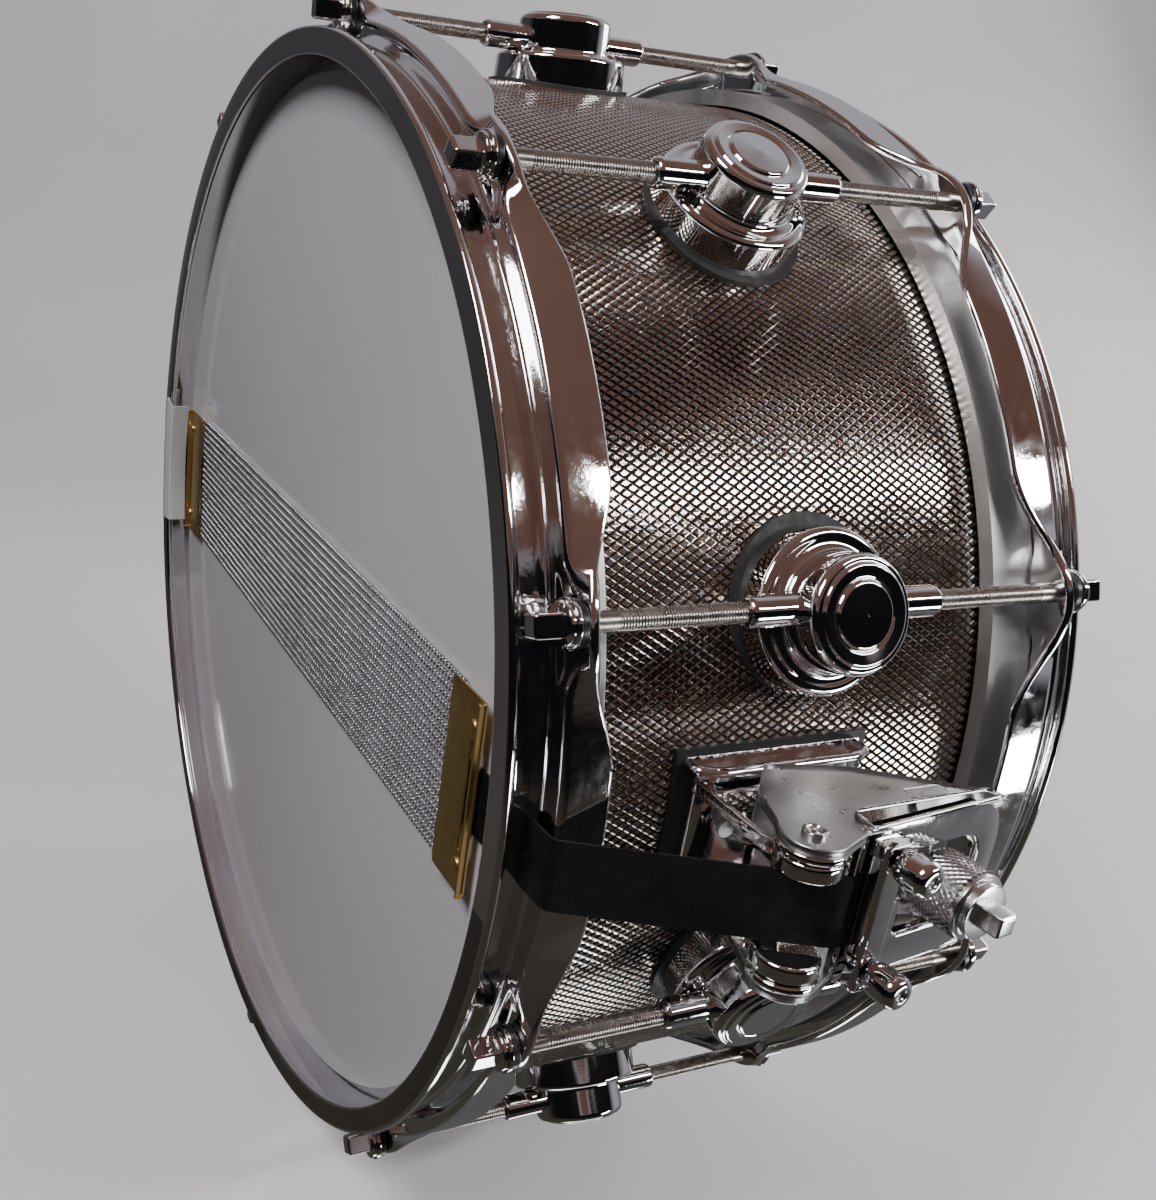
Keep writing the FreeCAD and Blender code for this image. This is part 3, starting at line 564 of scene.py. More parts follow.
def hoop_corners(station):
    """The hoop's section, as corners in (radius, height), at arc lengths from an ear's middle."""
    arc = np.abs(station)
    dent = 1 - ease(arc, *DENT_HALF_W)
    swing = (1 + np.cos(np.pi * np.clip(arc / WAVE_HALF_W, 0, 1))) / 2
    half = SKIRT_T / 2 + 0.25 * swing
    knee_r = SKIRT_R - SKIRT_T / 2 + 0.8 * dent
    ear_mid = sum(EAR_Z) / 2
    knee_z = sum(SHELF_Z) / 2 + (ear_mid - sum(SHELF_Z) / 2) * dent
    edge_r = knee_r + (EAR_TIP_R - SKIRT_R + 0.4) * swing ** 1.5
    edge_z = SKIRT_END_Z - (SKIRT_END_Z - ear_mid) * swing ** 0.9
    run = np.hypot(edge_r - knee_r, edge_z - knee_z)
    out_r = (edge_z - knee_z) / run
    out_z = -(edge_r - knee_r) / run
    mitre = 1 / (1 - out_z)
    lift = EAR_Z[0] - SHELF_Z[0]
    under_lift = EAR_Z[1] - SHELF_Z[1]
    corners = [
        (LIP_INNER_R, 0),
        (LIP_R, 0),
        (LIP_R, LIP_H),
        (WALL_R, LIP_H + 0.5),
        (WALL_R, SHELF_Z[0]),
        (EAR_WEB_R + 0.6, SHELF_Z[0]),
        (EAR_ROOT_R, SHELF_Z[0] + lift * dent),
        (knee_r + half * out_r * mitre, knee_z + half * (out_z - 1) * mitre),
        (edge_r + half * out_r, edge_z + half * out_z),
        (edge_r - half * out_r, edge_z - half * out_z),
        (knee_r - half * out_r * mitre, knee_z - half * (out_z - 1) * mitre),
        (EAR_WEB_R + 0.4, SHELF_Z[1] + under_lift * dent),
        (EAR_WEB_R, SHELF_Z[1]),
        (WALL_INNER_R, SHELF_Z[1]),
        (WALL_INNER_R, LIP_H),
        (LIP_INNER_R, LIP_H - 0.6),
    ]
    pairs = [np.stack([radius + 0 * arc, height + 0 * arc], axis=-1) for radius, height in corners]
    return np.stack(pairs, axis=-2)


HOOP_ROUNDING = [1.0, 1.3, 1.3, 2.6, 2.6, 1.0, 1.6, 2.6, 1.2, 1.2, 1.6, 0.6, 0.6, 0.8, 1.4, 0.6]


def hoop_mesh():
    """The snare-side hoop swept round the drum."""
    stations = hoop_stations()
    outline = rounded(hoop_corners(stations), HOOP_ROUNDING)
    rings = []
    for lug_angle in sorted(LUG_ANGLES):
        angles = lug_angle + stations / ROD_CIRCLE_R
        radius = outline[..., 0]
        x = -radius * np.sin(angles)[:, None]
        y = -radius * np.cos(angles)[:, None]
        rings.append(np.stack([x, y, outline[..., 1]], axis=-1))
    points = np.concatenate(rings)
    rows, columns = points.shape[:2]
    faces = grid_faces(rows, columns, True, True)
    return points.reshape(-1, 3), [face[::-1] for face in faces]


def gate_cutter(end):
    """A bar with rounded edges that cuts one gate; end is -1 for the throw-off side, 1 for the butt."""
    low, high = GATE_Z
    corners = [(-GATE_HALF_W, low), (GATE_HALF_W, low), (GATE_HALF_W, high), (-GATE_HALF_W, high)]
    outline = rounded(corners, [GATE_CORNER] * 4, 6)
    depths = sorted((end * (LIP_INNER_R - 6), end * (WALL_R + 1)))
    rings = [np.column_stack([outline[:, 0], np.full(len(outline), y), outline[:, 1]]) for y in depths]
    points = np.concatenate(rings)
    count = len(outline)
    faces = grid_faces(2, count, False, True)
    faces += [tuple(range(count))[::-1], tuple(range(count, 2 * count))]
    data = mesh_data("gate_cutter", (points, faces))
    cutter = bpy.data.objects.new("gate_cutter", data)
    bpy.context.scene.collection.objects.link(cutter)
    return cutter


def cut_gates(piece):
    """Cuts both strap gates through the snare hoop's wall, and leaves a plain mesh."""
    cutters = [gate_cutter(-1), gate_cutter(1)]
    for cutter in cutters:
        modifier = piece.modifiers.new("gate", "BOOLEAN")
        modifier.operation = "DIFFERENCE"
        modifier.solver = "EXACT"
        modifier.object = cutter
    graph = bpy.context.evaluated_depsgraph_get()
    cut = bpy.data.meshes.new_from_object(piece.evaluated_get(graph))
    piece.modifiers.clear()
    piece.data = cut
    for cutter in cutters:
        bpy.data.objects.remove(cutter)
    piece.data.set_sharp_from_angle(angle=math.radians(50))


def build_hoops():
    """Both hoops."""
    shape = hoop_mesh()
    snare = add_piece("snare_hoop_shaped", shape, "drum", hoop_chrome, replaces=["snare_hoop"])
    cut_gates(snare)
    even_normals(snare)
    batter = add_piece("batter_hoop_shaped", mirrored(shape), "drum", hoop_chrome,
                       replaces=["batter_hoop"])
    even_normals(batter)


def build_snare_flesh_hoop():
    """The snare-side flesh hoop, a little narrower than its CAD node."""
    low, high = box_mm("snare_flesh_hoop")
    ring = lathe(ring_profile(high[0] - 4.6, high[0], low[2], FLESH_END_Z, 0.6), 256)
    piece = add_piece("snare_flesh_hoop_ring", ring, "drum", aluminium,
                      replaces=["snare_flesh_hoop"])
    even_normals(piece)


# ---- Shell ----

def knurl_skin(radius, around, pitch, length, top, groove, flat, tilt):
    """Flat-topped diamonds between crossing grooves, on a cylinder about Z from z = 0."""
    rows = int(length / (pitch / 2))
    around_halves = 2 * around

    def point(u, v, height):
        angle = np.asarray(u) * math.pi / around
        out = radius + height
        return np.column_stack([-out * np.sin(angle), -out * np.cos(angle), np.asarray(v) * pitch / 2])

    u, v = np.meshgrid(np.arange(around_halves), np.arange(rows + 1), indexing="ij")
    in_groove = (u + v) % 2 == 1
    groove_id = np.full(u.shape, -1)
    groove_id[in_groove] = np.arange(in_groove.sum())
    centres = np.argwhere(~in_groove & (v > 0) & (v < rows))
    steps = [(1, 0), (0, 1), (-1, 0), (0, -1)]
    points = [point(*np.argwhere(in_groove).T, groove)]
    for du, dv in steps:
        height = top + rng.uniform(-tilt, tilt, len(centres))
        points.append(point(centres[:, 0] + du * flat, centres[:, 1] + dv * flat, height))
    count = len(centres)
    top_ids = [len(points[0]) + index * count + np.arange(count) for index in range(4)]
    groove_ids = [groove_id[(centres[:, 0] + du) % around_halves, centres[:, 1] + dv] for du, dv in steps]
    quads = [np.column_stack(top_ids)]
    for index in range(4):
        after = (index + 1) % 4
        quads.append(np.column_stack([top_ids[index], groove_ids[index], groove_ids[after], top_ids[after]]))
    return np.concatenate(points), np.concatenate(quads)[:, ::-1]


def shell_knurl():
    """The shell's knurl, left off round the vent."""
    points, quads = knurl_skin(SHELL_R, KNURL_AROUND, KNURL_PITCH_Z, KNURL_Z[1] - KNURL_Z[0],
                               KNURL_TOP, KNURL_GROOVE, KNURL_FLAT, KNURL_TILT)
    points = points + [0, 0, KNURL_Z[0]]
    distance = np.linalg.norm(points[quads].mean(axis=1) - centre_of("vent_grommet"), axis=1)
    return points, quads[distance > VENT_CLEAR].tolist()


def build_shell():
    """The knurl as its own skin on the plain CAD shell."""
    add_piece("shell_knurl", shell_knurl(), "drum", knurled_nickel, sharp=True)


# ---- Lugs, rods, nuts and washers ----

def build_lugs():
    """Ten turret lugs that share one mesh."""
    data = mesh_data("lug_turret", radial(lathe(section(LUG_SECTION, 5), 96)))
    data.shade_smooth()
    for index, angle in enumerate(LUG_ANGLES, start=1):
        piece = place(f"lug_turret_{index:02d}", data, "drum", chrome, [f"lug_{index:02d}"], angle)
        even_normals(piece)


def square_ring(half, corner, z, count=8):
    """A rounded square outline round the rod's axis."""
    inner = half - corner
    outline = []
    for quarter in range(4):
        centre_angle = math.pi / 4 + quarter * math.pi / 2
        centre = np.array([math.copysign(inner, math.cos(centre_angle)),
                           math.copysign(inner, math.sin(centre_angle))])
        for step in range(count):
            angle = quarter * math.pi / 2 + step / (count - 1) * math.pi / 2
            outline.append(centre + corner * np.array([math.cos(angle), math.sin(angle)]))
    outline = np.array(outline)
    return np.column_stack([outline, np.full(len(outline), z)])


def stacked(rings, close_start=True, close_end=True):
    """A skin over rings that have the same number of points."""
    count = len(rings[0])
    faces = grid_faces(len(rings), count, False, True)
    if close_start:
        faces.append(tuple(range(count))[::-1])
    if close_end:
        last = (len(rings) - 1) * count
        faces.append(tuple(range(last, last + count)))
    return np.concatenate(rings), faces


def square_key(half, tip_z, root_z, corner=HEAD_CORNER):
    """A square key end with a softened tip."""
    rings = [
        square_ring(half - 1.1, corner, tip_z),
        square_ring(half - 0.5, corner, tip_z + 0.15),
        square_ring(half - 0.12, corner, tip_z + 0.55),
        square_ring(half, corner, tip_z + 1.1),
        square_ring(half, corner, root_z),
    ]
    return stacked(rings)


def thread_mesh(start, end, radius, depth, pitch, segments=18, rows_per_turn=6):
    """A rod's screw thread along Z."""
    heights = np.arange(start, end, pitch / rows_per_turn)
    angles = np.linspace(0, 2 * math.pi, segments, endpoint=False)
    z, angle = np.meshgrid(heights, angles, indexing="ij")
    phase = (z / pitch - angle / (2 * math.pi)) % 1
    r = radius - depth * np.abs(2 * phase - 1)
    rings = np.stack([r * np.cos(angle), r * np.sin(angle), z], axis=-1)
    return stacked(list(rings))


def rod_mesh():
    """A tension rod on the Z axis: key head, collar, plain neck and thread."""
    low, high = COLLAR_Z
    collar = section([(AXIS_R, low, 0.1), (COLLAR_FACE_R, low, 0.3), (COLLAR_R, low + 0.4, 0.4),
                      (COLLAR_R, high, 0.3), (AXIS_R, high, 0.1)])
    neck = ring_profile(AXIS_R, ROD_R, high - 0.2, THREAD_START_Z, 0.1)
    thread = thread_mesh(THREAD_START_Z - 0.1, ROD_END_Z, ROD_R, THREAD_DEPTH, THREAD_PITCH)
    head = square_key(HEAD_HALF, HEAD_TIP_Z, low + 0.1)
    return joined([head, lathe(collar, 40), lathe(neck, 24), thread])


def at_rod(mesh, node):
    """A body made on the Z axis, moved to a rod and turned to face out."""
    points, faces = mesh
    return turned(points + [0, -ROD_CIRCLE_R, 0], angle_of(node)), faces


def two_tone(piece, material, z_limit, batter):
    """Gives the key head and collar a second material."""
    piece.data.materials.append(material)
    for face in piece.data.polygons:
        height = face.center.z / MM
        from_rim = RIM_TO_RIM - height if batter else height
        if from_rim < z_limit:
            face.material_index = 1


def build_rods():
    """Twenty tension rods."""
    rod = rod_mesh()
    for index in range(1, LUG_COUNT + 1):
        for side in ("snare", "batter"):
            node = f"{side}_rod_{index:02d}"
            shape = at_rod(rod, node)
            if side == "batter":
                shape = mirrored(shape)
            piece = add_piece(f"{node}_threaded", shape, f"{side}_tension_{index:02d}",
                              rod_steel, replaces=[node])
            two_tone(piece, chrome, COLLAR_Z[1] + 0.5, side == "batter")
            piece.data.set_sharp_from_angle(angle=math.radians(40))
            even_normals(piece)


def everywhere(mesh):
    """Copies of a body on the Z axis at all twenty rods."""
    copies = []
    for index in range(1, LUG_COUNT + 1):
        copy = at_rod(mesh, f"snare_rod_{index:02d}")
        copies += [copy, mirrored(copy)]
    return joined(copies)


def ring_profile(inner, outer, low, high, rounding):
    """A closed ring section."""
    return rounded([(inner, low), (outer, low), (outer, high), (inner, high)], [rounding] * 4)


def build_small_rings():
    """Washers and swivel nuts, one piece for each kind."""
    steel = lathe(ring_profile(*STEEL_WASHER, 0.25), 40)
    black = lathe(ring_profile(*NYLON_WASHER, 0.4), 40)
    low, high = NUT_Z
    nut_path = section([(NUT_BORE_R, low + 0.4, 0.2), (NUT_FACE_R, low, 0.4), (NUT_R, low + 0.9, 0.7),
                        (NUT_R, high, 0.3), (NUT_BORE_R, high, 0.2)])
    kinds = [
        ("steel_washer_rings", steel, "chrome", chrome, "steel_washers"),
        ("nylon_washer_rings", black, "black_nylon", nylon, "nylon_washers"),
        ("swivel_nut_sleeves", lathe(nut_path, 40), "nut_chrome", chrome, "swivel_nuts"),
    ]
    for name, mesh, slot, material, node in kinds:
        piece = add_piece(name, everywhere(mesh), "drum", material, replaces=[node])
        even_normals(piece)


# ---- Snare wires ----

def strand_mesh():
    """One coiled wire along Y, at x = 0."""
    turns = 2 * STRAND_END_Y / COIL_PITCH
    count = int(turns * 9)
    along = np.linspace(-STRAND_END_Y, STRAND_END_Y, count)
    angle = np.linspace(0, turns * 2 * math.pi, count)
    centre = np.column_stack([COIL_R * np.cos(angle), along, STRAND_Z + COIL_R * np.sin(angle)])
    outward = np.column_stack([np.cos(angle), np.zeros(count), np.sin(angle)])
    tangent = np.gradient(centre, axis=0)
    tangent /= np.linalg.norm(tangent, axis=1, keepdims=True)
    side = np.cross(tangent, outward)
    rings = []
    for step in range(5):
        turn = step * 2 * math.pi / 5
        rings.append(centre + WIRE_R * (math.cos(turn) * outward + math.sin(turn) * side))
    points = np.stack(rings, axis=1)
    return stacked(list(points))


def build_wires():
    """Twenty coiled strands that share one mesh."""
    data = mesh_data("snare_strand", strand_mesh())
    data.shade_smooth()
    for index in range(STRAND_COUNT):
        piece = bpy.data.objects.new(f"snare_strand_{index + 1:02d}", data)
        bpy.context.scene.collection.objects.link(piece)
        x = (index - (STRAND_COUNT - 1) / 2) * STRAND_PITCH
        piece.location = (x * MM, rng.uniform(-1, 1) * COIL_PITCH * MM / 2, 0)
        if not data.materials:
            data.materials.append(wire_steel)
        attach(piece, "snares")
        if index == 0:
            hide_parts("snare_wires")


# ---- Throw-off ----

def prism(outline, x_range, edge=0.5):
    """A prism along X from (depth, z) points, with rounded edges."""
    outline = np.asarray(outline, float)
    run = np.roll(outline, -1, axis=0) - np.roll(outline, 1, axis=0)
    run /= np.linalg.norm(run, axis=1, keepdims=True)
    area = np.sum(outline[:, 0] * np.roll(outline[:, 1], -1) - outline[:, 1] * np.roll(outline[:, 0], -1))
    inward = np.column_stack([-run[:, 1], run[:, 0]]) * math.copysign(1, area)
    rings = []
    steps = np.linspace(0, math.pi / 2, 5)
    low = [(x_range[0] + edge * (1 - math.sin(t)), edge * (1 - math.cos(t))) for t in steps]
    high = [(x_range[1] - edge * (1 - math.sin(t)), edge * (1 - math.cos(t))) for t in steps[::-1]]
    for x, inset in low + high:
        loop = outline + inward * inset
        rings.append(np.column_stack([np.full(len(loop), x), -loop[:, 0], loop[:, 1]]))
    return stacked(rings)


def both_sides(outline, x_range, edge=0.5):
    """The same prism on both sides of x = 0."""
    return [prism(outline, x_range, edge), prism(outline, (-x_range[1], -x_range[0]), edge)]


def across(profile, depth, z, flip=False):
    """A turned body on an axis along X, from (radius, x) points."""
    points, faces = lathe(profile, 48)
    x = -points[:, 2] if flip else points[:, 2]
    return np.column_stack([x, points[:, 0] - depth, points[:, 1] + z]), faces


def tipped(mesh, depth, z):
    """Tips a body made along -Y so that it stands square to the lever's front plate."""
    points, faces = mesh
    pivot = np.array([0, -depth, z])
    x, y, height = (points - pivot).T
    cosine, sine = math.cos(-PLATE_TILT), math.sin(-PLATE_TILT)
    return np.column_stack([x, y * cosine - height * sine, y * sine + height * cosine]) + pivot, faces


def plate_depth(z):
    """Depth of the lever's front face at a height."""
    share = (z - PLATE_LOW[1]) / (PLATE_HIGH[1] - PLATE_LOW[1])
    return PLATE_LOW[0] + (PLATE_HIGH[0] - PLATE_LOW[0]) * share


def boss_profile(radius, near, far):
    """A hinge barrel's section."""
    return section([(AXIS_R, near, 0.1), (radius, near, 1.2), (radius, far, 1.2), (AXIS_R, far, 0.1)], 5)


def pin_end(face):
    """The peened end of a hinge pin, a ring round a shallow dish."""
    return section([(radius, face + out, rounding) for radius, out, rounding in PIN_SECTION], 5)


def window_plate():
    """The lever's front plate round its window."""
    length = math.hypot(PLATE_LOW[0] - PLATE_HIGH[0], PLATE_HIGH[1] - PLATE_LOW[1])
    half = CHEEK_X[1]
    outer = rounded([(-half, 0), (half, 0), (half, length), (-half, length)], [2.0, 2.0, 13.0, 13.0], 10)
    low, high = [(z - PLATE_LOW[1]) / math.cos(PLATE_TILT) for z in WINDOW_Z]
    side = WINDOW_HALF_W
    inner = rounded([(-side, low), (side, low), (side, high), (-side, high)], [3.0, 3.0, 7.0, 7.0], 10)
    middle = np.array([0, length / 2])
    opening = np.array([0, (low + high) / 2])
    smaller, wider = 0.975, 1.05
    rings = []
    for loop, inset in (
        ((outer - middle) * smaller + middle, 0), (outer, 0.5), (outer, PLATE_T), (inner, PLATE_T),
        (inner, 0.5), ((inner - opening) * wider + opening, 0),
    ):
        up, back = loop[:, 1], inset
        depth = PLATE_LOW[0] - up * math.sin(PLATE_TILT) - back * math.cos(PLATE_TILT)
        z = PLATE_LOW[1] + up * math.cos(PLATE_TILT) - back * math.sin(PLATE_TILT)
        rings.append(np.column_stack([loop[:, 0], -depth, z]))
    return np.concatenate(rings), grid_faces(6, len(outer), True, True)


def build_lever():
    """The lever: cheeks with a raised rib, bosses, a windowed plate and the screw's bridge."""
    depth, z = HINGE
    turn = np.radians(EYE_BEARINGS)
    eye = np.column_stack([depth + CHEEK_EYE_R * np.cos(turn), z + CHEEK_EYE_R * np.sin(turn),
                           np.full(len(turn), EYE_ROUNDING)])
    outline = section(CHEEK_BACK + eye.tolist() + [CHEEK_HEEL], 5)
    foot, top = RIB_Z
    rib = section([(plate_depth(top) - RIB_W[1], top, 1.5), (plate_depth(top), top, 1),
                   (plate_depth(foot), foot, 1), (plate_depth(foot) - RIB_W[0], foot, 2.5)])
    cheeks = both_sides(outline, (CHEEK_X[1] - CHEEK_T, CHEEK_X[1] - 0.5), 0.6)
    piece = add_piece("throw_off_lever_cheeks", joined(cheeks), "lever", cast_chrome)
    even_normals(piece)
    parts = both_sides(rib, (CHEEK_X[1] - 1, CHEEK_X[1] + 0.4), 0.5)
    for flip in (False, True):
        boss = boss_profile(CHEEK_EYE_R, CHEEK_X[0], CHEEK_X[1] - CHEEK_T + 0.3)
        parts.append(across(boss, depth, z, flip))
        parts.append(across(pin_end(CHEEK_X[1] - 0.5), depth, z, flip))
    parts.append(prism(ring_profile(*BRIDGE, 1), (-CHEEK_X[1] + 1, CHEEK_X[1] - 1)))
    parts.append(window_plate())
    piece = add_piece("throw_off_lever_front", joined(parts), "lever", chrome,
                      replaces=["throw_off_lever", "hinge_pins"])
    even_normals(piece)


def build_bracket():
    """The bracket on the shell, with a crowned pad and two hinge ears."""
    depth, z = HINGE
    parts = [prism(section(BRACKET_PAD, 5), (-BASE_HALF_W, BASE_HALF_W), 2.0)]
    parts += both_sides(section(BRACKET_ARM, 5), (EAR_X[0], EAR_X[1] - 0.4), 1.0)
    for flip in (False, True):
        parts.append(across(boss_profile(BRACKET_EYE_R, EAR_X[0], EAR_X[1]), depth, z, flip))
    piece = add_piece("throw_off_bracket", joined(parts), "drum", chrome,
                      replaces=["throw_off_base"])
    even_normals(piece)


def build_clamp():
    """The bar over the strap and its two round-headed screws."""
    low, high = CLAMP_Z
    inner, outer = [STRAP_T + out for out in CLAMP_OUT]
    outline = section(
        [(plate_depth(low) + inner, low, 0.4), (plate_depth(high) + inner, high, 0.4),
         (plate_depth(high) + outer, high, 2.0), (plate_depth(low) + outer, low, 2.0)], 5)
    bar = add_piece("strap_clamp_bar", prism(outline, (-CLAMP_HALF_W, CLAMP_HALF_W)), "lever",
                    chrome, replaces=["strap_clamp"])
    even_normals(bar)
    middle = sum(CLAMP_Z) / 2
    seat = plate_depth(middle) + outer
    head = section([(radius, seat + out, rounding) for radius, out, rounding in CLAMP_HEAD], 5)
    heads = []
    for x in (-CLAMP_SCREW_X, CLAMP_SCREW_X):
        points, faces = tipped(radial(lathe(head, 40), middle), plate_depth(middle), middle)
        heads.append((points + [x, 0, 0], faces))
    screws = add_piece("strap_clamp_screw_heads", joined(heads), "lever", chrome,
                       replaces=["strap_clamp_screws"])
    even_normals(screws)


def build_knob():
    """The fine-tune knob: a knurled barrel, a smooth disc and a square key end."""
    near, far = KNOB_DEPTH
    radius = KNOB_R - KNOB_EDGE
    points, quads = knurl_skin(radius, length=far - near - KNOB_PLAIN, **KNOB_KNURL)
    skin = (points + [0, 0, near + KNOB_EDGE], quads.tolist())
    core = section([
        (AXIS_R, FINE_SCREW_START, 0.1), (FINE_SCREW_R, FINE_SCREW_START, 0.4), (FINE_SCREW_R, near, 0.2),
        (radius, near, 0.5), (radius, far, 0.5), (KNOB_DISC_R, far + 0.2, 0.2),
        (KNOB_DISC_R, far + KNOB_DISC_T, 0.5), (AXIS_R, far + KNOB_DISC_T, 0.1),
    ])
    key_points, key_faces = square_key(KNOB_KEY_HALF, 0, KNOB_KEY_L, 0.4)
    key = (key_points * [1, 1, -1] + [0, 0, far + KNOB_KEY_END], key_faces)
    parts = [tipped(radial(mesh, KNOB_Z), KNOB_PIVOT_DEPTH, KNOB_Z) for mesh in (skin, lathe(core, 64), key)]
    piece = add_piece("fine_tune_knob_knurled", joined(parts), "tuner_knob", knob_steel,
                      replaces=["fine_tune_knob"])
    piece.data.set_sharp_from_angle(angle=math.radians(30))


# ---- End plates and straps ----

def end_plate(side):
    """One brass plate with a turned-down lip, a slot and round solder bumps."""
    low, high = box_mm("wire_end_plates")
    outer_y, half = high[1], high[0]
    face = high[2] - END_PLATE_T
    inner_y = outer_y - END_PLATE_L
    sheet = rounded([(-half, inner_y), (half, inner_y), (half, outer_y), (-half, outer_y)], [1.5] * 4, 6)
    slot_low, slot_high = [outer_y - inset for inset in SLOT_INSET]
    slot = rounded([(-SLOT_HALF_W, slot_low), (SLOT_HALF_W, slot_low), (SLOT_HALF_W, slot_high),
                    (-SLOT_HALF_W, slot_high)], [0.8] * 4, 6)
    rings = []
    for loop, height in ((sheet, face + END_PLATE_T), (slot, face + END_PLATE_T), (slot, face),
                         (sheet, face)):
        rings.append(np.column_stack([loop, np.full(len(loop), height)]))
    parts = [(np.concatenate(rings), grid_faces(4, len(sheet), True, True))]
    lip = rounded([(outer_y - LIP_T, low[2]), (outer_y, low[2]), (outer_y, high[2]),
                   (outer_y - LIP_T, high[2])], [0.3] * 4, 5)
    points, faces = prism(lip, (-half, half), 0.3)
    parts.append((points * [1, -1, 1], faces))
    bump = section([(radius, face + out, rounding) for radius, out, rounding in BUMP_SECTION], 6)
    for x in (-BUMP_X, BUMP_X):
        points, faces = lathe(bump, 24)
        parts.append((points + [x, outer_y - BUMP_INSET, 0], faces))
    plate = joined(parts)
    return half_turned(plate) if side < 0 else plate


def build_end_plates():
    """Both brass plates."""
    plates = joined([end_plate(1), end_plate(-1)])
    piece = add_piece("wire_end_plates_bent", plates, "snares", brass,
                      replaces=["wire_end_plates"])
    even_normals(piece)


def ribbon_mesh(path):
    """A flat strap along a smooth path of (depth, z) points."""
    path = np.asarray(path, float)
    run = np.gradient(path, axis=0)
    run /= np.linalg.norm(run, axis=1, keepdims=True)
    out = np.column_stack([run[:, 1], -run[:, 0]])
    across_share = np.linspace(-1, 1, 9)
    columns = [(share, 0.0) for share in across_share] + [(share, 1.0) for share in across_share[::-1]]
    rings = []
    for centre, normal in zip(path, out):
        ring = []
        for share, layer in columns:
            depth, z = centre - normal * layer * STRAP_T
            ring.append((share * STRAP_W / 2, -depth, z))
        rings.append(np.array(ring))
    return stacked(rings)


def sampled(corners, radii, step=1.5):
    """Points about evenly spaced along an open path with rounded corners."""
    corners = [np.array(corner, float) for corner in corners]
    path = [corners[0]]
    for index in range(1, len(corners) - 1):
        here = corners[index]
        before, after = corners[index - 1] - here, corners[index + 1] - here
        start = here + before / np.linalg.norm(before) * radii[index - 1]
        end = here + after / np.linalg.norm(after) * radii[index - 1]
        for t in np.linspace(0, 1, 7):
            path.append((1 - t) ** 2 * start + 2 * t * (1 - t) * here + t ** 2 * end)
    path.append(corners[-1])
    dense = [path[0]]
    for point in path[1:]:
        pieces = max(1, int(np.linalg.norm(point - dense[-1]) / step))
        last = dense[-1]
        dense += [last + (point - last) * (piece + 1) / pieces for piece in range(pieces)]
    return dense


def loose_piece(name, mesh, material, node=None):
    """A piece with no parent."""
    data = mesh_data(name, mesh)
    data.materials.append(material)
    data.shade_smooth()
    data.set_sharp_from_angle(angle=math.radians(50))
    piece = bpy.data.objects.new(name, data)
    bpy.context.scene.collection.objects.link(piece)
    if node:
        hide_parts(node)
    return piece


def build_straps():
    """The throw-off strap in two lengths that meet at the hoop."""
    clamped = [(plate_depth(z) + STRAP_T + 0.1, z) for z in (STRAP_MEETS_PLATE_Z, CLAMP_Z[1])]
    whole = sampled([STRAP_START, STRAP_CORNER] + clamped, STRAP_BENDS)
    split = next(index for index, point in enumerate(whole) if point[1] > STRAP_SPLIT_Z)
    low = loose_piece("strap_through_gate", ribbon_mesh(whole[:split + 1]), ribbon)
    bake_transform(low)
    high = loose_piece("strap_to_lever", ribbon_mesh(whole[split:]), ribbon,
                       "throw_off_strap")
    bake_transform(high)


def build_strap_tab():
    """The pale plastic strip between the far end plate and the snare hoop's gate."""
    angles = math.pi + np.linspace(-TAB_HALF_W, TAB_HALF_W, 25) / LIP_INNER_R
    outline = section(TAB_SECTION, 5)
    rings = []
    for angle in angles:
        x, y = -outline[:, 0] * math.sin(angle), -outline[:, 0] * math.cos(angle)
        rings.append(np.column_stack([x, y, outline[:, 1]]))
    piece = add_piece("plastic_strap_tab", stacked(rings), "drum", strap_plastic)
    piece.data.set_sharp_from_angle(angle=math.radians(50))


def build_butt():
    """The butt plate's block, bar and round-headed screws."""
    base_low, base_high = box_mm("butt_base")
    depth = base_high[1]
    half = base_high[0]
    low, high = base_low[2], base_high[2]
    back, run_in, rise = BUTT_BLOCK
    block = section([(back, low, 0.5), (depth - run_in, low, 5), (depth, low + rise, 8),
                     (depth, high - rise, 8), (depth - run_in, high, 5), (back, high, 0.5)], 6)
    body = add_piece("butt_block", half_turned(prism(block, (-half, half))), "drum", chrome,
                     replaces=["butt_base"])
    even_normals(body)
    clamp_low, clamp_high = box_mm("butt_clamp")
    near, far = clamp_low[1], clamp_high[1]
    bar = rounded([(near, clamp_low[2]), (far, clamp_low[2]), (far, clamp_high[2]), (near, clamp_high[2])],
                  [0.4, 1.8, 1.8, 0.4], 5)
    piece = add_piece("butt_clamp_bar", half_turned(prism(bar, (clamp_low[0], clamp_high[0]))), "drum",
                      chrome, replaces=["butt_clamp"])
    even_normals(piece)
    screw_end = box_mm("butt_screws")[1][1]
    foot_r, head_r, tip_r = BUTT_HEAD_R
    head = section([(AXIS_R, far, 0.1), (foot_r, far, 0.3), (head_r, screw_end - 1, 1.2),
                    (tip_r, screw_end, 1), (AXIS_R, screw_end, 0.1)], 5)
    heads = []
    for x in (-BUTT_SCREW_X, BUTT_SCREW_X):
        points, faces = half_turned(radial(lathe(head, 32), (clamp_low[2] + clamp_high[2]) / 2))
        heads.append((points + [x, 0, 0], faces))
    even_normals(add_piece("butt_screw_heads", joined(heads), "drum", chrome))


# ---- CAD nodes that stay: materials ----

KEPT = {
    "shell": plain_nickel, "vent_grommet": chrome,
    "snare_head": clear_film, "batter_head": coated_film,
    "batter_flesh_hoop": aluminium,
    "lug_gaskets": rubber, "lug_screws": zinc, "mounting_gaskets": rubber,
    "throw_off_screws": zinc, "magnet": zinc, "fine_tune_foot": zinc,
    "butt_screws": chrome, "butt_strap": ribbon,
}


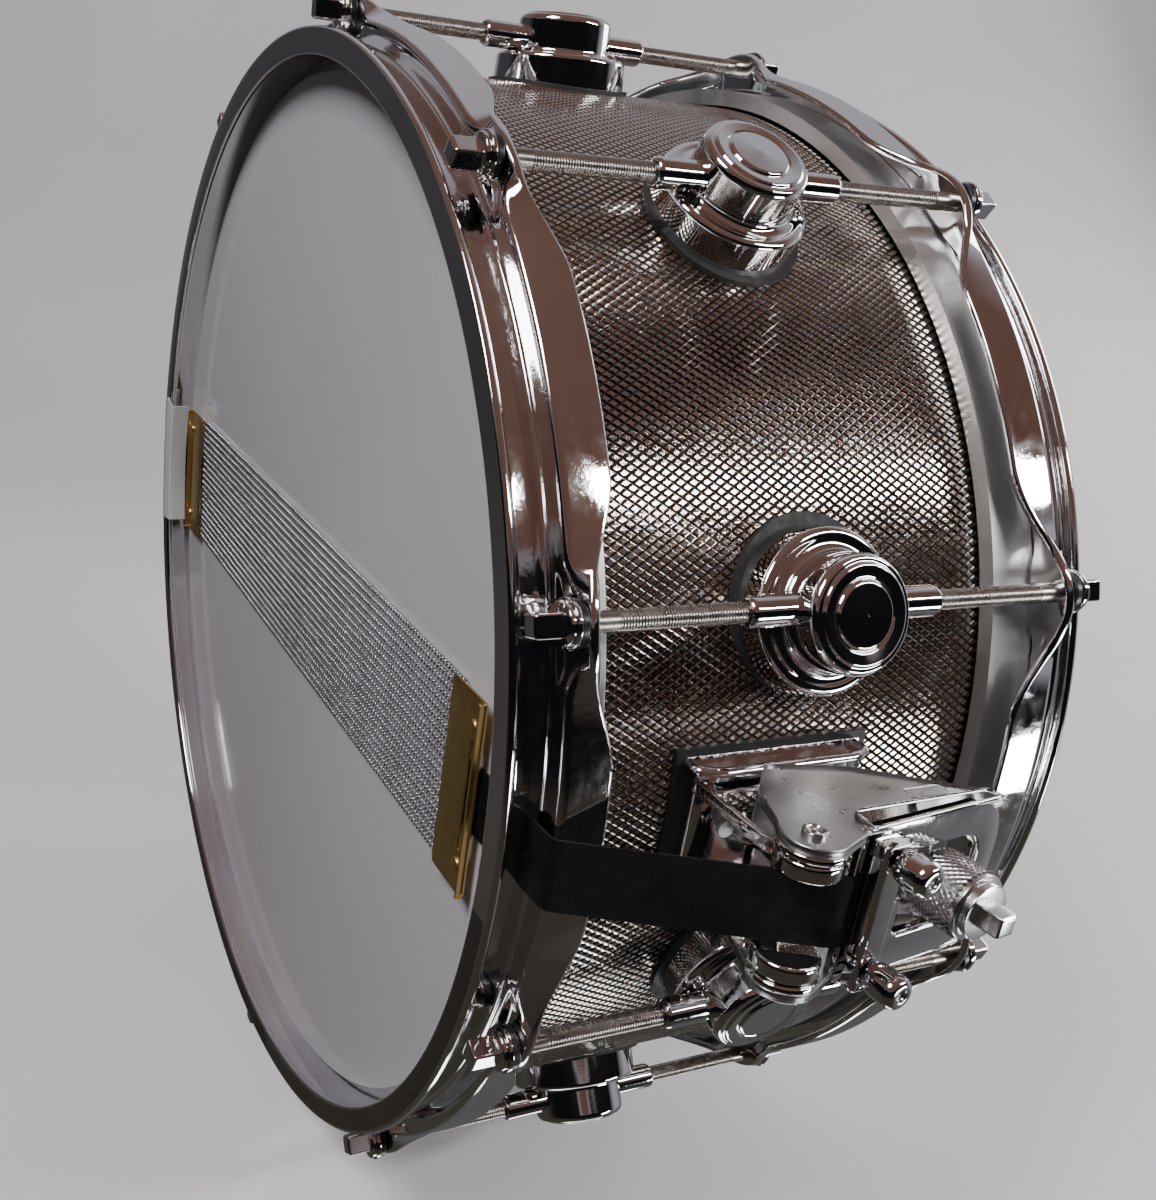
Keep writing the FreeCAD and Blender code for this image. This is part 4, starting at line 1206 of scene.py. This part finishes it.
def finish_cad_nodes():
    """Materials for every CAD node that shows."""
    for name, material in KEPT.items():
        data = nodes[name].data
        data.materials.clear()
        data.materials.append(material)


# ---- Stage, light and camera ----

CAMERA_AT = (-0.155563, -0.396540, -0.125974)
CAMERA_FORWARD = Vector((0.35123, 0.85169, 0.38892)).normalized()
CAMERA_ROLL = math.radians(-86.928)
CAMERA_LENS = 36.952
CAMERA_SHIFT = 0.14
FLOOR_HALF = 5.0
# Bend's radius, front edge, start of the bend, top, half width (metres), and steps in the bend
BACKDROP = (0.7, -4.0, 0.75, 5.0, 5.0, 16)


def add_camera():
    """The photograph's viewpoint: below the rim's plane and rolled almost a quarter turn."""
    side = CAMERA_FORWARD.cross(Vector((0, 0, 1))).normalized()
    level_up = side.cross(CAMERA_FORWARD)
    up = math.cos(CAMERA_ROLL) * level_up + math.sin(CAMERA_ROLL) * side
    right = CAMERA_FORWARD.cross(up)
    data = bpy.data.cameras.new("camera")
    data.lens = CAMERA_LENS
    data.sensor_width = 36.0
    data.shift_x = CAMERA_SHIFT
    data.clip_start = 0.01
    camera = bpy.data.objects.new("camera", data)
    turn = Matrix((right, up, -CAMERA_FORWARD)).transposed().to_4x4()
    camera.matrix_world = Matrix.Translation(CAMERA_AT) @ turn
    bpy.context.scene.collection.objects.link(camera)
    bpy.context.scene.camera = camera


def one_sided(name, colour):
    """A pale matt stage surface that shows only from its front."""
    material, tree, shader = new_material(name)
    tone = ramp(tree, noise(tree, 2.2, 4.0),
                [(0.35, tuple(0.93 * c for c in colour)), (0.65, colour)])
    link(tree, tone, shader.inputs["Base Color"])
    shader.inputs["Roughness"].default_value = 0.9
    link(tree, tone, shader.inputs["Emission Color"])
    shader.inputs["Emission Strength"].default_value = 0.16
    clear = tree.nodes.new("ShaderNodeBsdfTransparent")
    side = tree.nodes.new("ShaderNodeNewGeometry")
    mix = tree.nodes.new("ShaderNodeMixShader")
    link(tree, side.outputs["Backfacing"], mix.inputs["Fac"])
    link(tree, shader.outputs["BSDF"], mix.inputs[1])
    link(tree, clear.outputs["BSDF"], mix.inputs[2])
    link(tree, mix.outputs["Shader"], tree.nodes["Material Output"].inputs["Surface"])
    return material


def backdrop_sheet(material):
    """The tipped drum's floor, curving up into a wall behind it."""
    away = Vector((0, CAMERA_FORWARD.y, CAMERA_FORWARD.z)).normalized()
    sideways = Vector((1, 0, 0)).cross(away)
    up = Vector((-1, 0, 0))
    start = Vector((cad_bounds[1][0], 0, MID_Z * MM))
    bend, front, reach, top, half_w, steps = BACKDROP
    profile = [(front, 0.0), (reach, 0.0)]
    for step in range(1, steps + 1):
        angle = step / steps * math.pi / 2
        profile.append((reach + bend * math.sin(angle), bend * (1 - math.cos(angle))))
    profile.append((reach + bend, top))
    corners = []
    for along, height in profile:
        for width in (-half_w, half_w):
            corners.append(start + away * along + up * height + sideways * width)
    faces = [(2 * i, 2 * i + 1, 2 * i + 3, 2 * i + 2) for i in range(len(profile) - 1)]
    stage_mesh("backdrop", corners, faces, material)


def stage_mesh(name, corners, faces, material):
    """A stage surface that neither shades the drum nor shows in its metal."""
    data = bpy.data.meshes.new(name)
    data.from_pydata([list(corner) for corner in corners], [], faces)
    data.materials.append(material)
    data.shade_smooth()
    surface = bpy.data.objects.new(name, data)
    bpy.context.scene.collection.objects.link(surface)
    surface.visible_shadow = False
    surface.visible_glossy = False
    surface.visible_diffuse = False


def add_stage():
    """A floor under the upright drum, and a curved sheet that the tipped drum lies on."""
    pale = one_sided("pale_floor", (0.74, 0.73, 0.76))
    half = FLOOR_HALF
    corners = [Vector((x, y, 0)) for x, y in ((-half, -half), (half, -half), (half, half), (-half, half))]
    stage_mesh("floor", corners, [(0, 1, 2, 3)], pale)
    backdrop_sheet(pale)


def strip_light(name, direction, distance, size, power, colour=(1, 1, 1)):
    """A soft light aimed at the drum's middle; size is its width round the drum and its length."""
    data = bpy.data.lights.new(name, "AREA")
    data.shape = "RECTANGLE"
    data.size, data.size_y = size
    data.energy = power
    data.color = colour
    light = bpy.data.objects.new(name, data)
    out = Vector(direction).normalized()
    width = Vector((0, 0, 1)).cross(out).normalized()
    turn = Matrix((width, out.cross(width), out)).transposed().to_4x4()
    middle = Vector((0, 0, MID_Z * MM))
    light.matrix_world = Matrix.Translation(middle + out * distance) @ turn
    bpy.context.scene.collection.objects.link(light)


def add_lights():
    """Soft studio light: two strips that streak the shell, and broad fills all round."""
    strip_light("key", (-0.47, -0.62, 0.63), 1.4, (0.09, 0.7), 10)
    strip_light("low_key", (0.30, -0.72, 0.62), 1.4, (0.20, 0.5), 9)
    strip_light("snare_fill", (-0.75, -0.25, -0.60), 1.5, (0.5, 0.5), 17)
    strip_light("batter_fill", (-0.3, 0.2, 0.95), 1.6, (0.6, 0.6), 9)
    strip_light("back_fill", (0.3, 0.9, 0.3), 1.6, (0.4, 0.9), 9)
    strip_light("right_fill", (0.95, -0.2, 0.2), 1.6, (0.3, 0.9), 6)


def add_world():
    """A room for the metal to mirror, pale behind the drum and dark and warm elsewhere.

    What shows past the stage is plain and pale.
    """
    world = bpy.data.worlds.new("room")
    world.use_nodes = True
    bpy.context.scene.world = world
    tree = world.node_tree
    background = tree.nodes["Background"]
    coordinates = tree.nodes.new("ShaderNodeTexCoord")
    direction = coordinates.outputs["Generated"]
    wobble = tree.nodes.new("ShaderNodeTexNoise")
    wobble.inputs["Scale"].default_value = 2.5
    link(tree, direction, wobble.inputs["Vector"])
    shifted = tree.nodes.new("ShaderNodeMath")
    shifted.operation = "MULTIPLY_ADD"
    shifted.inputs[1].default_value = 0.5
    link(tree, wobble.outputs["Fac"], shifted.inputs[0])
    link(tree, dot(tree, direction, (-1, 0, 0)), shifted.inputs[2])
    height = spread(tree, shifted.outputs["Value"], 0.0, 1.0, -0.75, 1.25)
    room = ramp(tree, height, [
        (0.00, (0.05, 0.045, 0.035)), (0.28, (0.045, 0.038, 0.030)), (0.36, (0.006, 0.006, 0.007)),
        (0.56, (0.006, 0.006, 0.007)), (0.65, (0.012, 0.010, 0.010)), (0.68, (0.22, 0.20, 0.21)),
        (0.71, (0.12, 0.060, 0.042)), (1.00, (0.17, 0.10, 0.08)),
    ])
    wall = ramp(tree, height, [(0.15, (0.10, 0.10, 0.10)), (0.45, (0.36, 0.35, 0.38)),
                               (0.8, (0.44, 0.43, 0.46))])
    facing = spread(tree, dot(tree, direction, CAMERA_FORWARD), 0.0, 1.0, -0.05, 0.25)
    batter_side = spread(tree, dot(tree, direction, (0, 0, 1)), 0.12, 1.0, -0.25, 0.15)
    both = tree.nodes.new("ShaderNodeMath")
    both.operation = "MULTIPLY"
    link(tree, facing, both.inputs[0])
    link(tree, batter_side, both.inputs[1])
    mirrored_room = mixed(tree, both.outputs["Value"], room, wall)
    path = tree.nodes.new("ShaderNodeLightPath")
    seen = mixed(tree, path.outputs["Is Camera Ray"], mirrored_room, (0.50, 0.49, 0.51, 1.0))
    link(tree, seen, background.inputs["Color"])
    background.inputs["Strength"].default_value = 1.0


finish_cad_nodes()
build_hoops()
build_shell()
build_lugs()
build_rods()
build_small_rings()
build_wires()
build_lever()
build_bracket()
build_clamp()
build_knob()
build_end_plates()
build_straps()
build_strap_tab()
build_snare_flesh_hoop()
build_butt()
add_stage()
add_world()
add_lights()
add_camera()
